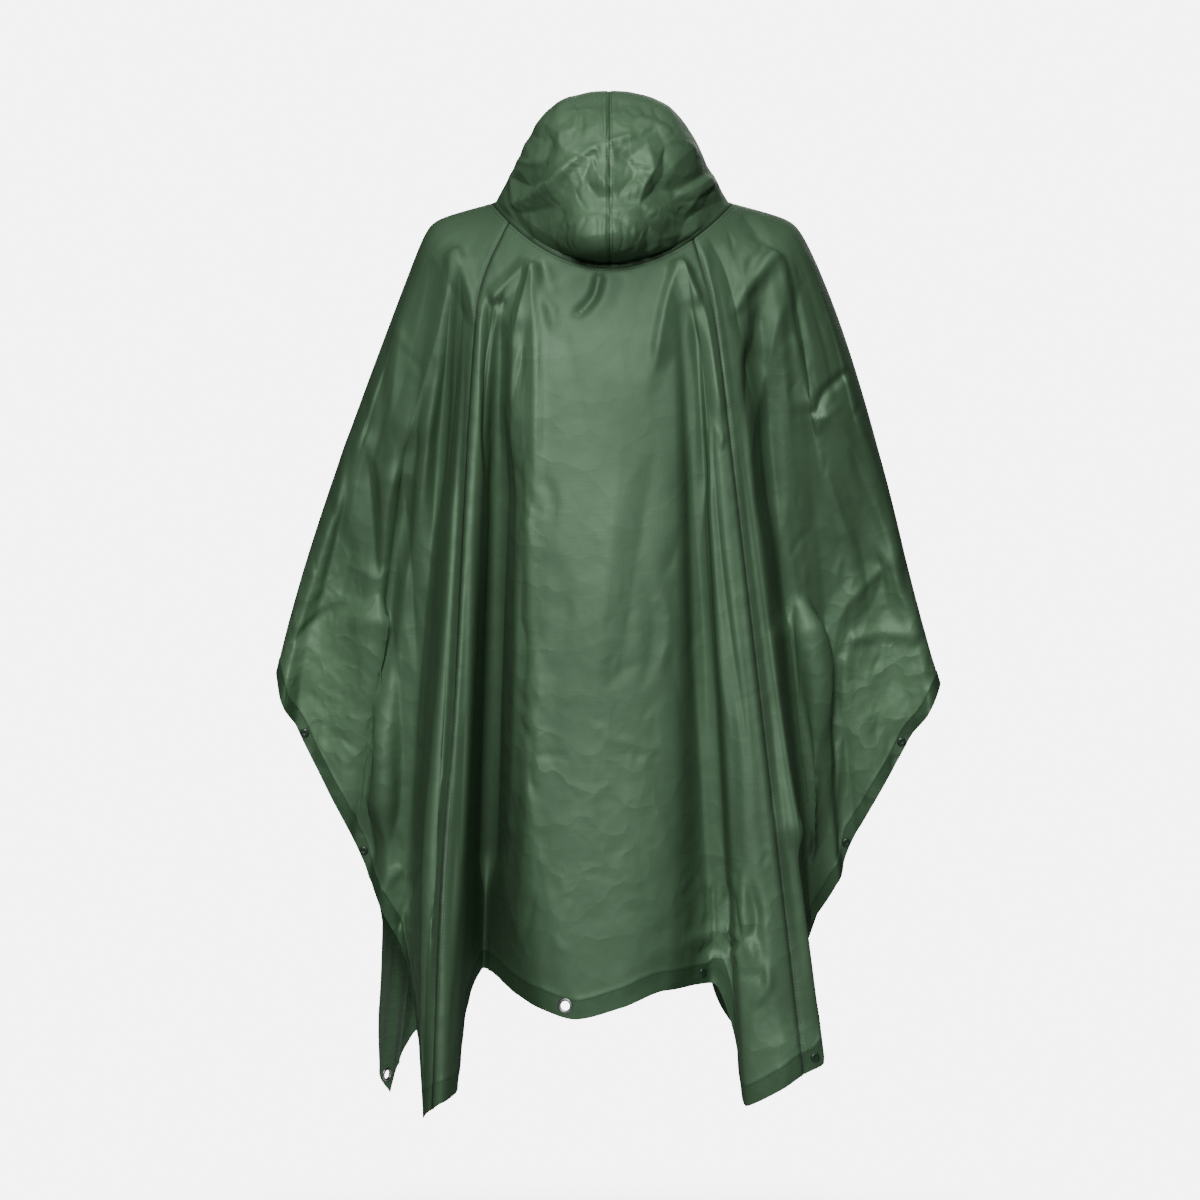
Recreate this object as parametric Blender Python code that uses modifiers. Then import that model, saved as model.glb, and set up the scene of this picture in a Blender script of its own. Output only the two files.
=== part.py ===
"""A hooded rain poncho, filled out as it is worn, with nobody inside it.

The body of the poncho is one surface: a sheet with a neck hole in the middle. Every column of that
surface is a curve that leaves the neck seam, passes over the shoulders at the hang line, and falls
to a foot on the lower edge. FEET names those columns: the folds, the corners, the press studs and
the wrists. Four panels are cut from the surface along seams that run from the neck to the corners.
The hood is a fan of arches that stand on the neck seam, in two halves.

Metres, +Z up. The wearer faces -Y, and the wearer's left is +X. The origin is in the middle of the
neck hole, level with the tops of the shoulders, where the wearer carries the poncho.
"""

import math

import bmesh
import bpy
import numpy as np
from mathutils import Matrix, Vector
from mathutils.bvhtree import BVHTree

# Cloth
WALL = 0.0015
SEAM_GAP = 0.0003

# Neck seam: an oval that dips at the back and at the front
NECK_HALF_WIDTH = 0.1465
NECK_SHIFT_RIGHT = 0.004
NECK_BACK = 0.125
NECK_FRONT = 0.105
NECK_SIDE_HEIGHT = 0.026
NECK_DIP = 0.090
NECK_DIP_POWER = 1.8

# Hang line: a squarish oval round the shoulders and the shoulder blades
HANG_HALF_WIDTH = 0.2265
HANG_SHIFT_RIGHT = 0.0045
HANG_BACK = 0.142
HANG_FRONT = 0.140
HANG_SQUARENESS = 0.833
HANG_SIDE_HEIGHT = 0.006
HANG_DIP = 0.133
HANG_DIP_POWER = 1.3
SHOULDER_ROUNDING = 0.018
BLADE_ROUNDING = 0.045
SHOULDER_SHARPNESS = 4
NECK_LEAD_DEG = 16.0
PRESSED_FLAT = 0.010
PRESSED_BLEND = 0.012

# Mesh spacing
YOKE_ROWS = 4
FALL_ROWS = 11
FALL_GROWTH = 1.3
COLUMN_SPACING = 0.029
COLUMN_DEG = 5.0
HEIGHT_WEIGHT = 0.3
HEM_ROW = 0.026
FLAT_HALF_WIDTH = 0.010
SHARP_DEG = 40.0

# How far apart two places are that give a slope, in rows of FEET and in shares of a column
NUDGE_U = 0.02
NUDGE_V = 0.004
SEAM_SAMPLES = 40

# One row for each fold, edge or fastening round the lower edge, from the middle of the back towards
# the wearer's left: its name, the angle where its column crosses the hang line (0 is the middle of
# the back, 90 the left shoulder) and its foot.
FEET = (
    # name, hang_deg, foot_x, foot_y, foot_z
    ("back_middle", 6, 0.041, 0.205, -0.952),
    ("back_flat_left", 21, 0.080, 0.190, -0.941),
    ("back_valley_left", 31, 0.154, 0.000, -0.915),
    ("back_wall_left", 34, 0.172, 0.110, -0.955),
    ("back_pipe_inner_left", 36.5, 0.180, 0.185, -1.037),
    ("back_pipe_left", 40, 0.197, 0.215, -1.049),
    ("back_seam_left", 42, 0.206, 0.213, -1.056),
    ("back_corner_left", 45, 0.216, 0.200, -1.069),
    ("back_edge_low_left", 48, 0.222, 0.180, -0.986),
    ("back_edge_tuck_left", 51, 0.233, 0.110, -0.946),
    ("sleeve_valley_back_left", 54.5, 0.255, 0.020, -0.884),
    ("sleeve_flap_left", 58.5, 0.276, 0.026, -0.845),
    ("stud_low_back_left", 64, 0.303, 0.0022, -0.781),
    ("stud_gape_back_left", 70, 0.336, 0.014, -0.713),
    ("stud_high_back_left", 76, 0.376, 0.0022, -0.636),
    ("cuff_back_left", 78.3, 0.384, 0.0045, -0.619),
    ("wrist_back_left", 83, 0.400, 0.026, -0.590),
    ("wrist_left", 90, 0.409, 0.000, -0.551),
    ("wrist_front_left", 97, 0.400, -0.026, -0.590),
    ("cuff_front_left", 101.7, 0.384, -0.0045, -0.619),
    ("stud_high_front_left", 104, 0.376, -0.0022, -0.636),
    ("stud_gape_front_left", 110, 0.336, -0.014, -0.713),
    ("stud_low_front_left", 116, 0.303, -0.0022, -0.781),
    ("front_edge_left", 122, 0.282, -0.050, -0.867),
    ("front_edge_low_left", 128, 0.288, -0.080, -1.000),
    ("front_edge_tip_left", 131, 0.2885, -0.100, -1.060),
    ("front_corner_left", 134, 0.277, -0.122, -1.087),
    ("front_seam_left", 137, 0.2675, -0.141, -1.052),
    ("front_pipe_left", 140, 0.254, -0.165, -1.023),
    ("front_pipe_inner_left", 146, 0.220, -0.150, -0.985),
    ("front_valley_left", 155, 0.150, -0.020, -0.905),
    ("front_flat_left", 165, 0.085, -0.195, -0.932),
    ("front_middle", 180, 0.000, -0.220, -0.945),
    ("front_flat_right", 195, -0.070, -0.200, -0.932),
    ("front_valley_right", 204, -0.112, -0.055, -0.905),
    ("front_pipe_inner_right", 213, -0.155, -0.165, -1.000),
    ("front_pipe_right", 219, -0.185, -0.180, -1.022),
    ("front_seam_right", 222, -0.200, -0.165, -1.030),
    ("front_corner_right", 226, -0.212, -0.145, -1.036),
    ("front_edge_low_right", 232, -0.232, -0.100, -0.950),
    ("front_edge_right", 238, -0.258, -0.045, -0.855),
    ("stud_low_front_right", 244, -0.293, -0.0022, -0.772),
    ("stud_gape_front_right", 250, -0.328, -0.014, -0.706),
    ("stud_high_front_right", 256, -0.362, -0.0022, -0.647),
    ("cuff_front_right", 258.3, -0.3705, -0.0045, -0.631),
    ("wrist_front_right", 263, -0.392, -0.026, -0.600),
    ("wrist_right", 270, -0.407, 0.000, -0.565),
    ("wrist_back_right", 277, -0.392, 0.026, -0.600),
    ("cuff_back_right", 281.7, -0.3705, 0.0045, -0.631),
    ("stud_high_back_right", 284, -0.362, 0.0022, -0.647),
    ("stud_gape_back_right", 290, -0.328, 0.014, -0.706),
    ("stud_low_back_right", 296, -0.293, 0.0022, -0.772),
    ("sleeve_notch_right", 304, -0.283, 0.016, -0.803),
    ("sleeve_valley_back_right", 313, -0.249, 0.000, -0.858),
    ("back_edge_tuck_right", 319, -0.237, 0.110, -0.870),
    ("back_edge_low_right", 324, -0.242, 0.185, -0.942),
    ("back_corner_right", 328, -0.251, 0.200, -1.003),
    ("back_seam_right", 331, -0.2265, 0.208, -1.016),
    ("back_pipe_right", 333.5, -0.200, 0.215, -1.033),
    ("back_pipe_inner_right", 336, -0.160, 0.205, -1.053),
    ("back_tuck_right", 338, -0.150, 0.135, -0.985),
    ("back_valley_right", 341, -0.124, 0.130, -0.918),
    ("back_flat_right", 345, -0.066, 0.190, -0.920),
    ("back_middle_right", 355, -0.013, 0.205, -0.939),
)
NAME, HANG_DEG = 0, 1
CORNERS = ("back_corner_left", "front_corner_left", "front_corner_right", "back_corner_right")
PRESSED = tuple(
    f"stud_{level}_{face}_{side}"
    for level in ("low", "high")
    for face in ("back", "front")
    for side in ("left", "right")
)

# How far a column bows away from straight, a third and two thirds of the way down, and whether its
# depth levels off before the foot (1), as it does where the front and back are pressed together.
BOWS = {
    # name: (high_x, high_y, low_x, low_y, levels_off)
    "back_flat_left": (0.004, 0.0, 0.008, 0.0, 0),
    "sleeve_flap_left": (0.0, 0.016, 0.0, 0.006, 0.5),
    "stud_low_back_left": (0.002, 0.030, 0.002, 0.0, 1),
    "stud_gape_back_left": (0.001, 0.034, 0.005, 0.0, 1),
    "stud_high_back_left": (0.002, 0.034, 0.008, 0.0, 1),
    "cuff_back_left": (0.002, 0.032, 0.008, 0.001, 0.8),
    "wrist_back_left": (0.002, 0.012, 0.009, 0.003, 0),
    "wrist_left": (0.002, 0.0, 0.009, 0.0, 0),
    "wrist_front_left": (0.002, -0.012, 0.009, -0.003, 0),
    "cuff_front_left": (0.002, -0.032, 0.008, -0.001, 0.8),
    "stud_high_front_left": (0.002, -0.034, 0.008, 0.0, 1),
    "stud_gape_front_left": (0.001, -0.034, 0.005, 0.0, 1),
    "stud_low_front_left": (0.002, -0.030, 0.002, 0.0, 1),
    "stud_low_front_right": (-0.004, -0.030, 0.0, 0.0, 1),
    "stud_gape_front_right": (-0.008, -0.034, 0.0, 0.0, 1),
    "stud_high_front_right": (-0.014, -0.034, 0.0, 0.0, 1),
    "cuff_front_right": (-0.014, -0.032, 0.0, -0.001, 0.8),
    "wrist_front_right": (-0.015, -0.012, 0.0, -0.003, 0),
    "wrist_right": (-0.015, 0.0, 0.0, 0.0, 0),
    "wrist_back_right": (-0.015, 0.012, 0.0, 0.003, 0),
    "cuff_back_right": (-0.014, 0.032, 0.0, 0.001, 0.8),
    "stud_high_back_right": (-0.014, 0.034, 0.0, 0.0, 1),
    "stud_gape_back_right": (-0.008, 0.034, 0.0, 0.0, 1),
    "stud_low_back_right": (-0.004, 0.030, 0.0, 0.0, 1),
    "sleeve_notch_right": (0.0, 0.020, 0.0, 0.004, 0.6),
    "back_flat_right": (-0.004, 0.0, -0.006, 0.0, 0),
}
NO_BOW = (0.0, 0.0, 0.0, 0.0, 0.0)
BOW_SCALE = 6.75  # makes a bow its full size at its third of the way

# What a foot curve gives at each column
HANG = 0
FOOT = slice(1, 4)
FOOT_Y = 2
FOOT_Z = 3
HIGH_BOW = slice(4, 6)
LOW_BOW = slice(6, 8)
LEVELS_OFF = 8

# Hood: its middle seam from the brow edge over the crown to the nape
HOOD_RIDGE = (
    # along, y, z
    (0.00, -0.135, 0.100),
    (0.15, -0.105, 0.135),
    (0.33, -0.035, 0.157),
    (0.52, 0.050, 0.156),
    (0.68, 0.112, 0.112),
    (0.80, 0.140, 0.050),
    (0.90, 0.165, -0.012),
    (0.96, 0.160, -0.046),
    (1.00, 0.128, -0.060),
)
# and its arches, from the neck seam up to the middle seam
HOOD_ARCH = (
    # climbed, width, rise, lean
    (0.00, 1.000, 0.000, 0.00),
    (0.15, 0.905, 0.165, 0.22),
    (0.30, 0.810, 0.345, 0.45),
    (0.45, 0.720, 0.545, 0.66),
    (0.60, 0.600, 0.745, 0.83),
    (0.75, 0.430, 0.905, 0.94),
    (0.90, 0.185, 0.985, 0.99),
    (1.00, 0.000, 1.000, 1.00),
)
HOOD_FRONT_DEG = 172.0
HOOD_NAPE_DEG = 12.0
HOOD_FACE_BULGE = 0.080
HOOD_FACE_REACH = 0.40
HOOD_FACE_FADE = 1.5
HOOD_NAPE_REACH = 0.08
HOOD_NAPE_FADE = 3
HOOD_STAND = 0.004
HOOD_GAP = 0.0009
HOOD_CORNER = 0.90
HOOD_ROWS = 22
HOOD_COLUMNS = 10

# Press studs: a cap outside the cloth, a post through it and a socket or a ball inside it
CAP_GAP = 0.0005
BACK_GAP = 0.0004
EYELET_GAP = 0.0005
STUD_CAP_RADIUS = 0.0055
STUD_CAP_HEIGHT = 0.0018
STUD_CAP_CREST = 0.50  # of its radius, where the cap is highest
STUD_CAP_SHOULDER = 0.88  # of its radius, where the cap turns down
STUD_CAP_DISH = 0.75  # of its height, in the middle and at the shoulder
STUD_POST_RADIUS = 0.0018
STUD_BACK_RADIUS = 0.0042
STUD_BACK_HEIGHT = 0.0008
STUD_SOCKET_RADIUS = 0.0025
STUD_SOCKET_DEPTH = 0.00055
STUD_BALL_RADIUS = 0.0019
STUD_BALL_TIP_RADIUS = 0.0013
STUD_BALL_HEIGHT = 0.0008
STUD_BALL_BACK_HEIGHT = 0.0004
STUD_HOLE_RADIUS = STUD_POST_RADIUS + SEAM_GAP
STUD_SIDES = 10
PANEL, NEAR_FOOT, ROWS_PAST = 1, 2, 3
STUDS = (
    # name, panel, foot, rows past the foot, inset from the edge, inner end
    ("stud_left_high_socket", "side_panel_left", "stud_high_back_left", 0, 0.011, "socket"),
    ("stud_left_high_ball", "side_panel_left", "stud_high_front_left", 0, 0.011, "ball"),
    ("stud_left_low_socket", "side_panel_left", "stud_low_back_left", 0, 0.011, "socket"),
    ("stud_left_low_ball", "side_panel_left", "stud_low_front_left", 0, 0.011, "ball"),
    ("stud_right_high_socket", "side_panel_right", "stud_high_back_right", 0, 0.011, "socket"),
    ("stud_right_high_ball", "side_panel_right", "stud_high_front_right", 0, 0.011, "ball"),
    ("stud_right_low_socket", "side_panel_right", "stud_low_back_right", 0, 0.012, "socket"),
    ("stud_right_low_ball", "side_panel_right", "stud_low_front_right", 0, 0.012, "ball"),
    ("stud_back_hem", "back_panel", "back_valley_right", 0.23, 0.014, "socket"),
    ("stud_back_corner", "side_panel_right", "back_corner_right", 0.50, 0.013, "socket"),
)

# Eyelets: a metal ring rolled over both faces of the cloth
EYELET_HOLE_RADIUS = 0.0054
EYELET_BARREL = 0.0005
EYELET_FLANGE_RADIUS = 0.0090
EYELET_FLANGE_HEIGHT = 0.0009
EYELET_SIDES = 16
EYELETS = (
    # name, panel, foot, rows past the foot, inset from the edge
    ("eyelet_back", "back_panel", "back_middle", 0.25, 0.0145),
    ("eyelet_front_corner", "side_panel_left", "front_corner_left", -0.40, 0.0150),
)
HOLE_SIDES = 12
CUTTER_LENGTH = 0.006
PROBE = 0.006
SEAT_RADIUS = 0.005
SEAT_PROBES = 12

# Colours: dark green coated nylon, nearly black studs and grey metal eyelets
CLOTH_GREEN = (0.045, 0.110, 0.058)
STUD_GREEN = (0.010, 0.030, 0.016)
EYELET_GREY = (0.55, 0.56, 0.55)


def signed_power(value, power):
    return np.sign(value) * np.abs(value) ** power


def neck_angle(hang_deg):
    """Where on the neck seam the column that crosses the hang line at hang_deg begins."""
    return hang_deg + NECK_LEAD_DEG * np.sin(np.radians(2 * hang_deg))


def neck_seam(degrees):
    """Points of the neck seam. 0 is the middle of the back and 90 the left side of the neck."""
    angle = np.radians(degrees)
    depth = np.where(np.cos(angle) > 0, NECK_BACK, NECK_FRONT)
    height = NECK_SIDE_HEIGHT - NECK_DIP * np.abs(np.cos(angle)) ** NECK_DIP_POWER
    across = NECK_HALF_WIDTH * np.sin(angle) - NECK_SHIFT_RIGHT * np.sin(angle) ** 2
    return np.stack([across, depth * np.cos(angle), height], axis=-1)


def hang_line(degrees):
    """Points where the cloth leaves the shoulders and starts to fall."""
    angle = np.radians(degrees)
    depth = np.where(np.cos(angle) > 0, HANG_BACK, HANG_FRONT)
    height = HANG_SIDE_HEIGHT - HANG_DIP * np.abs(np.cos(angle)) ** HANG_DIP_POWER
    across = HANG_HALF_WIDTH * signed_power(np.sin(angle), HANG_SQUARENESS)
    across = across - HANG_SHIFT_RIGHT * np.sin(angle) ** 2
    return np.stack([across, depth * signed_power(np.cos(angle), HANG_SQUARENESS), height], axis=-1)


def row_of(name):
    return next(i for i, row in enumerate(FEET) if row[NAME] == name)


class FootCurve:
    """The closed curve through the feet, and with it each column's hang angle and bow.

    It never swings past a foot. The heights turn sharply at the four corners of the cloth, and the
    depths are level where studs press the front and the back together.
    """

    def __init__(self):
        rows = [row[HANG_DEG:] + BOWS.get(row[NAME], NO_BOW) for row in FEET]
        values = np.array(rows + [rows[0]], float)
        values[-1, HANG] += 360
        steps = np.diff(values[:, FOOT], axis=0) * (1, 1, HEIGHT_WEIGHT)
        self.spans = np.linalg.norm(steps, axis=1)
        self.values = values
        after = np.diff(values, axis=0) / self.spans[:, None]
        before = np.roll(after, 1, axis=0)
        width_after, width_before = self.spans[:, None], np.roll(self.spans, 1)[:, None]
        weight_before, weight_after = 2 * width_after + width_before, width_after + 2 * width_before
        same_way = before * after > 0
        ease = np.where(same_way, weight_before * after + weight_after * before, 1)
        smooth = np.where(same_way, (weight_before + weight_after) * before * after / ease, 0)
        self.leaving, self.arriving = smooth.copy(), smooth.copy()
        for name in CORNERS:
            row = row_of(name)
            self.leaving[row, FOOT_Z] = after[row, FOOT_Z]
            self.arriving[row, FOOT_Z] = before[row, FOOT_Z]
        self.reached = np.append(0, np.cumsum(self.spans))

    def at(self, u):
        """Hang angle, foot x, y, z and the five bow values at u, which counts rows of FEET."""
        u = np.asarray(u, float) % len(FEET)
        row = np.minimum(u.astype(int), len(FEET) - 1)
        t = (u - row)[..., None]
        span = self.spans[row][..., None]
        start, end = self.values[row], self.values[row + 1]
        leave = self.leaving[row] * span
        arrive = self.arriving[(row + 1) % len(FEET)] * span
        found = (
            (2 * t**3 - 3 * t**2 + 1) * start
            + (t**3 - 2 * t**2 + t) * leave
            + (3 * t**2 - 2 * t**3) * end
            + (t**3 - t**2) * arrive
        )
        place = self.reached[row] + (u - row) * self.spans[row]
        for name in PRESSED:
            stud = row_of(name)
            apart = np.abs(place - self.reached[stud])
            freed = np.clip((apart - PRESSED_FLAT) / PRESSED_BLEND, 0, 1)
            freed = freed * freed * (3 - 2 * freed)
            pressed = self.values[stud, FOOT_Y]
            found[..., FOOT_Y] = pressed + (found[..., FOOT_Y] - pressed) * freed
        return found


FOOT_CURVE = FootCurve()


def column_lengths(found):
    """Each column's start, its turn over the hang line, and the lengths of its two stretches."""
    neck = neck_seam(neck_angle(found[..., HANG]))
    hang = hang_line(found[..., HANG])
    yoke = np.linalg.norm(hang - neck, axis=-1)
    fall = np.linalg.norm(found[..., FOOT] - hang, axis=-1)
    return neck, hang, yoke, fall


def cloth_middle(u, v):
    """The middle of the cloth's wall at column u. v is 0 at the neck seam and 1 at the foot."""
    u, v = np.broadcast_arrays(np.asarray(u, float), np.asarray(v, float))
    found = FOOT_CURVE.at(u)
    neck, hang, yoke, fall = column_lengths(found)
    sideways = np.sin(np.radians(found[..., HANG])) ** SHOULDER_SHARPNESS
    rounding = BLADE_ROUNDING + (SHOULDER_ROUNDING - BLADE_ROUNDING) * sideways
    fallen = rounded_fall(v * (yoke + fall), yoke, fall, rounding)
    on_yoke = ((v * (yoke + fall) - fallen) / yoke)[..., None]
    down = (fallen / fall)[..., None]
    points = neck + (hang - neck) * on_yoke + (found[..., FOOT] - hang) * down
    level = (found[..., FOOT_Y] - hang[..., 1]) * found[..., LEVELS_OFF]
    points[..., 1] += level * (down * (1 - down))[..., 0]
    high, low = BOW_SCALE * down * (1 - down) ** 2, BOW_SCALE * down**2 * (1 - down)
    points[..., :2] += found[..., HIGH_BOW] * high + found[..., LOW_BOW] * low
    return points


def rounded_fall(along, yoke, fall, rounding):
    """How far a column has fallen, with the turn over the hang line rounded off."""

    def soft(past):
        return (past + np.sqrt(past**2 + rounding**2)) / 2

    share = along / (yoke + fall)
    return soft(along - yoke) - soft(-yoke) * (1 - share) - (soft(fall) - fall) * share


def cloth_normal(u, v):
    """Outward unit normals of the cloth."""
    low, high = np.maximum(v - NUDGE_V, 0), np.minimum(v + NUDGE_V, 1)
    along = cloth_middle(u, high) - cloth_middle(u, low)
    across = cloth_middle(u + NUDGE_U, v) - cloth_middle(u - NUDGE_U, v)
    return unit(np.cross(across, along))


def unit(vectors):
    return vectors / np.linalg.norm(vectors, axis=-1, keepdims=True)


def row_stations(u):
    """v of every mesh row at columns u: evenly over the yoke, then further and further apart, with
    the last one along the lower edge."""
    _, _, yoke, fall = column_lengths(FOOT_CURVE.at(u))
    turn = (yoke / (yoke + fall))[..., None]
    hem = 1 - HEM_ROW / (yoke + fall)[..., None]
    on_yoke = np.linspace(0, 1, YOKE_ROWS + 1)[:-1]
    falling = np.linspace(0, 1, FALL_ROWS + 1) ** FALL_GROWTH
    return np.concatenate([turn * on_yoke, turn + (hem - turn) * falling, 0 * hem + 1], axis=-1)


def panel_columns(name, first, last):
    """Column positions of a panel, finer where the feet are close together, with one flat facet
    under each fastening."""
    start, end = row_of(first), row_of(last)
    if end <= start:
        end += len(FEET)
    columns = [float(end)]
    for row in range(start, end):
        turned_deg = (FEET[(row + 1) % len(FEET)][HANG_DEG] - FEET[row % len(FEET)][HANG_DEG]) % 360
        spaced = round(FOOT_CURVE.spans[row % len(FEET)] / COLUMN_SPACING)
        pieces = max(1, spaced, math.ceil(turned_deg / COLUMN_DEG))
        columns += [row + i / pieces for i in range(pieces)]
    for fastening in STUDS + EYELETS:
        if fastening[PANEL] == name:
            middle = row_of(fastening[NEAR_FOOT]) + fastening[ROWS_PAST]
            middle += len(FEET) * (middle < start)
            low, high = (along_feet(middle, sign * FLAT_HALF_WIDTH) for sign in (-1, 1))
            columns = [u for u in columns if u < low or u > high] + [low, high]
    return np.array(sorted(columns))


def along_feet(u, distance):
    """The column that lies this far from column u along the lower edge."""
    step = 1 if distance > 0 else -1
    left = abs(distance)
    while True:
        row = math.floor(u) if step > 0 else math.ceil(u) - 1
        span = FOOT_CURVE.spans[row % len(FEET)]
        to_next = abs(row + (step > 0) - u) * span
        if left <= to_next:
            return u + step * left / span
        left -= to_next
        u = float(row + (step > 0))


def hold_back(points, edge, inner):
    """Moves an edge column of points half a seam gap towards the column inside it."""
    points[:, edge] += unit(points[:, inner] - points[:, edge]) * SEAM_GAP / 2


def wall_between(name, outer, inner):
    """A closed wall between two grids of points with the same rows and columns. Both skins are split
    into triangles along the same diagonal of each cell, the shorter one, so that the wall keeps its
    thickness where it twists."""
    mesh = bmesh.new()
    rows, columns = outer.shape[:2]
    top, under = ([[mesh.verts.new(point) for point in row] for row in grid] for grid in (outer, inner))
    falling = np.linalg.norm(outer[1:, 1:] - outer[:-1, :-1], axis=-1)
    rising = np.linalg.norm(outer[1:, :-1] - outer[:-1, 1:], axis=-1)
    for i in range(rows - 1):
        for j in range(columns - 1):
            cell = [(i, j), (i + 1, j), (i + 1, j + 1), (i, j + 1)]
            if rising[i, j] < falling[i, j]:
                cell.append(cell.pop(0))
            for corners in (cell[:3], [cell[0], cell[2], cell[3]]):
                mesh.faces.new([top[row][column] for row, column in corners])
                mesh.faces.new([under[row][column] for row, column in reversed(corners)])
    for i in range(rows - 1):
        mesh.faces.new((top[i][0], under[i][0], under[i + 1][0], top[i + 1][0]))
        mesh.faces.new((top[i][-1], top[i + 1][-1], under[i + 1][-1], under[i][-1]))
    for j in range(columns - 1):
        mesh.faces.new((top[0][j], top[0][j + 1], under[0][j + 1], under[0][j]))
        mesh.faces.new((top[-1][j], under[-1][j], under[-1][j + 1], top[-1][j + 1]))
    bmesh.ops.recalc_face_normals(mesh, faces=mesh.faces)
    data = bpy.data.meshes.new(name)
    mesh.to_mesh(data)
    mesh.free()
    return data


def add_piece(name, data, material, collection):
    piece = bpy.data.objects.new(name, data)
    data.materials.append(material)
    data.shade_smooth()
    data.set_sharp_from_angle(angle=math.radians(SHARP_DEG))
    collection.objects.link(piece)
    return piece


def add_panel(name, first, last, material, collection):
    columns = panel_columns(name, first, last)
    stations = row_stations(columns).T
    grid_u = np.broadcast_to(columns, stations.shape)
    middle = cloth_middle(grid_u, stations)
    normal = cloth_normal(grid_u, stations)
    hold_back(middle, 0, 1)
    hold_back(middle, -1, -2)
    half = WALL / 2
    data = wall_between(name, middle + normal * half, middle - normal * half)
    return add_piece(name, data, material, collection)


def smooth_table(table, at):
    """A smooth curve through a table whose first column is where each row lies."""
    table = np.array(table, float)
    knots, values = table[:, 0], table[:, 1:]
    slopes = np.diff(values, axis=0) / np.diff(knots)[:, None]
    tangents = np.concatenate([slopes[:1], (slopes[1:] + slopes[:-1]) / 2, slopes[-1:]])
    row = np.clip(np.searchsorted(knots, at, side="right") - 1, 0, len(knots) - 2)
    width = (knots[row + 1] - knots[row])[..., None]
    t = (at - knots[row])[..., None] / width
    return (
        (2 * t**3 - 3 * t**2 + 1) * values[row]
        + (t**3 - 2 * t**2 + t) * width * tangents[row]
        + (3 * t**2 - 2 * t**3) * values[row + 1]
        + (t**3 - t**2) * width * tangents[row + 1]
    )


def seam_edge(neck_deg):
    """Top edges of the panels at angles round the neck: their points, the way that the cloth runs
    up into the hood, and the outward normals."""
    u = np.linspace(0, len(FEET), SEAM_SAMPLES * len(FEET) + 1)
    reached = neck_angle(FOOT_CURVE.at(u)[..., HANG])
    reached[-1] += 360
    column = np.interp(np.mod(neck_deg - reached[0], 360) + reached[0], reached, u)
    top = cloth_middle(column, 0)
    up = top - cloth_middle(column, NUDGE_V)
    return top, unit(up), cloth_normal(column, 0 * column)


def hood_middle(side, along, climbed):
    """The middle of the hood's wall on one side, 1 for the left and -1 for the right. along is 0 at
    the brow edge and 1 at the nape. climbed is 0 just over the neck seam and 1 on the middle seam."""
    along, climbed = np.broadcast_arrays(np.asarray(along, float), np.asarray(climbed, float))
    seam_deg = side * (HOOD_FRONT_DEG + (HOOD_NAPE_DEG - HOOD_FRONT_DEG) * along)
    top, up, _ = seam_edge(seam_deg)
    base = top + up * HOOD_STAND
    ridge = smooth_table(HOOD_RIDGE, along)
    width, rise, lean = np.moveaxis(smooth_table(HOOD_ARCH, climbed), -1, 0)
    face = np.clip(1 - along / HOOD_FACE_REACH, 0, 1) ** HOOD_FACE_FADE
    x = base[..., 0] * width + side * HOOD_FACE_BULGE * face * np.sin(np.pi * climbed)
    y = base[..., 1] + (ridge[..., 0] - base[..., 1]) * lean
    z = base[..., 2] + (ridge[..., 1] - base[..., 2]) * rise
    points = np.stack([x, y, z], axis=-1)
    nape_top, nape_up, _ = seam_edge(seam_deg * (1 - climbed))
    near_nape = np.clip((along - 1) / HOOD_NAPE_REACH + 1, 0, 1)[..., None] ** HOOD_NAPE_FADE
    return points + (nape_top + nape_up * HOOD_STAND - points) * near_nape


def hood_normal(side, along, climbed):
    low_s, high_s = np.maximum(along - NUDGE_V, 0), np.minimum(along + NUDGE_V, 1)
    low_t, high_t = np.maximum(climbed - NUDGE_V, 0), np.minimum(climbed + NUDGE_V, 1)
    back = hood_middle(side, high_s, climbed) - hood_middle(side, low_s, climbed)
    over = hood_middle(side, along, high_t) - hood_middle(side, along, low_t)
    return unit(np.cross(back, over) * side)


def add_hood_half(name, side, material, collection):
    """One side of the hood, with a row along the neck seam that the panels' own edges give."""
    steps, climbs = np.linspace(0, 1, HOOD_ROWS + 1), np.linspace(0, 1, HOOD_COLUMNS + 1)
    along, climbed = np.meshgrid(steps, climbs, indexing="ij")
    middle, normal = hood_middle(side, along, climbed), hood_normal(side, along, climbed)
    middle[:, -1, 0] = side * SEAM_GAP / 2
    normal[:, -1, 0] = 0
    normal = unit(normal)

    side_deg = side * (HOOD_FRONT_DEG + (HOOD_NAPE_DEG - HOOD_FRONT_DEG) * steps)
    nape_deg = side * HOOD_NAPE_DEG * np.append(HOOD_CORNER, HOOD_CORNER * HOOD_CORNER * (1 - climbs))
    side_top, side_up, side_normal = seam_edge(side_deg)
    nape_top, nape_up, nape_normal = seam_edge(nape_deg)
    nape_top[-1, 0] = side * SEAM_GAP / 2
    side_edge, nape_edge = side_top + side_up * HOOD_GAP, nape_top + nape_up * HOOD_GAP
    middle = np.concatenate([side_edge[:, None], middle], axis=1)
    normal[:, 0] = unit(normal[:, 0] + side_normal)
    normal[-1] = unit(normal[-1] + nape_normal[1:])
    normal = np.concatenate([side_normal[:, None], normal], axis=1)
    middle = np.concatenate([middle, nape_edge[None]], axis=0)
    normal = np.concatenate([normal, nape_normal[None]], axis=0)
    normal[:, -1, 0] = 0
    half = WALL / 2
    data = wall_between(name, middle + unit(normal) * half, middle - unit(normal) * half)
    return add_piece(name, data, material, collection)


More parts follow.
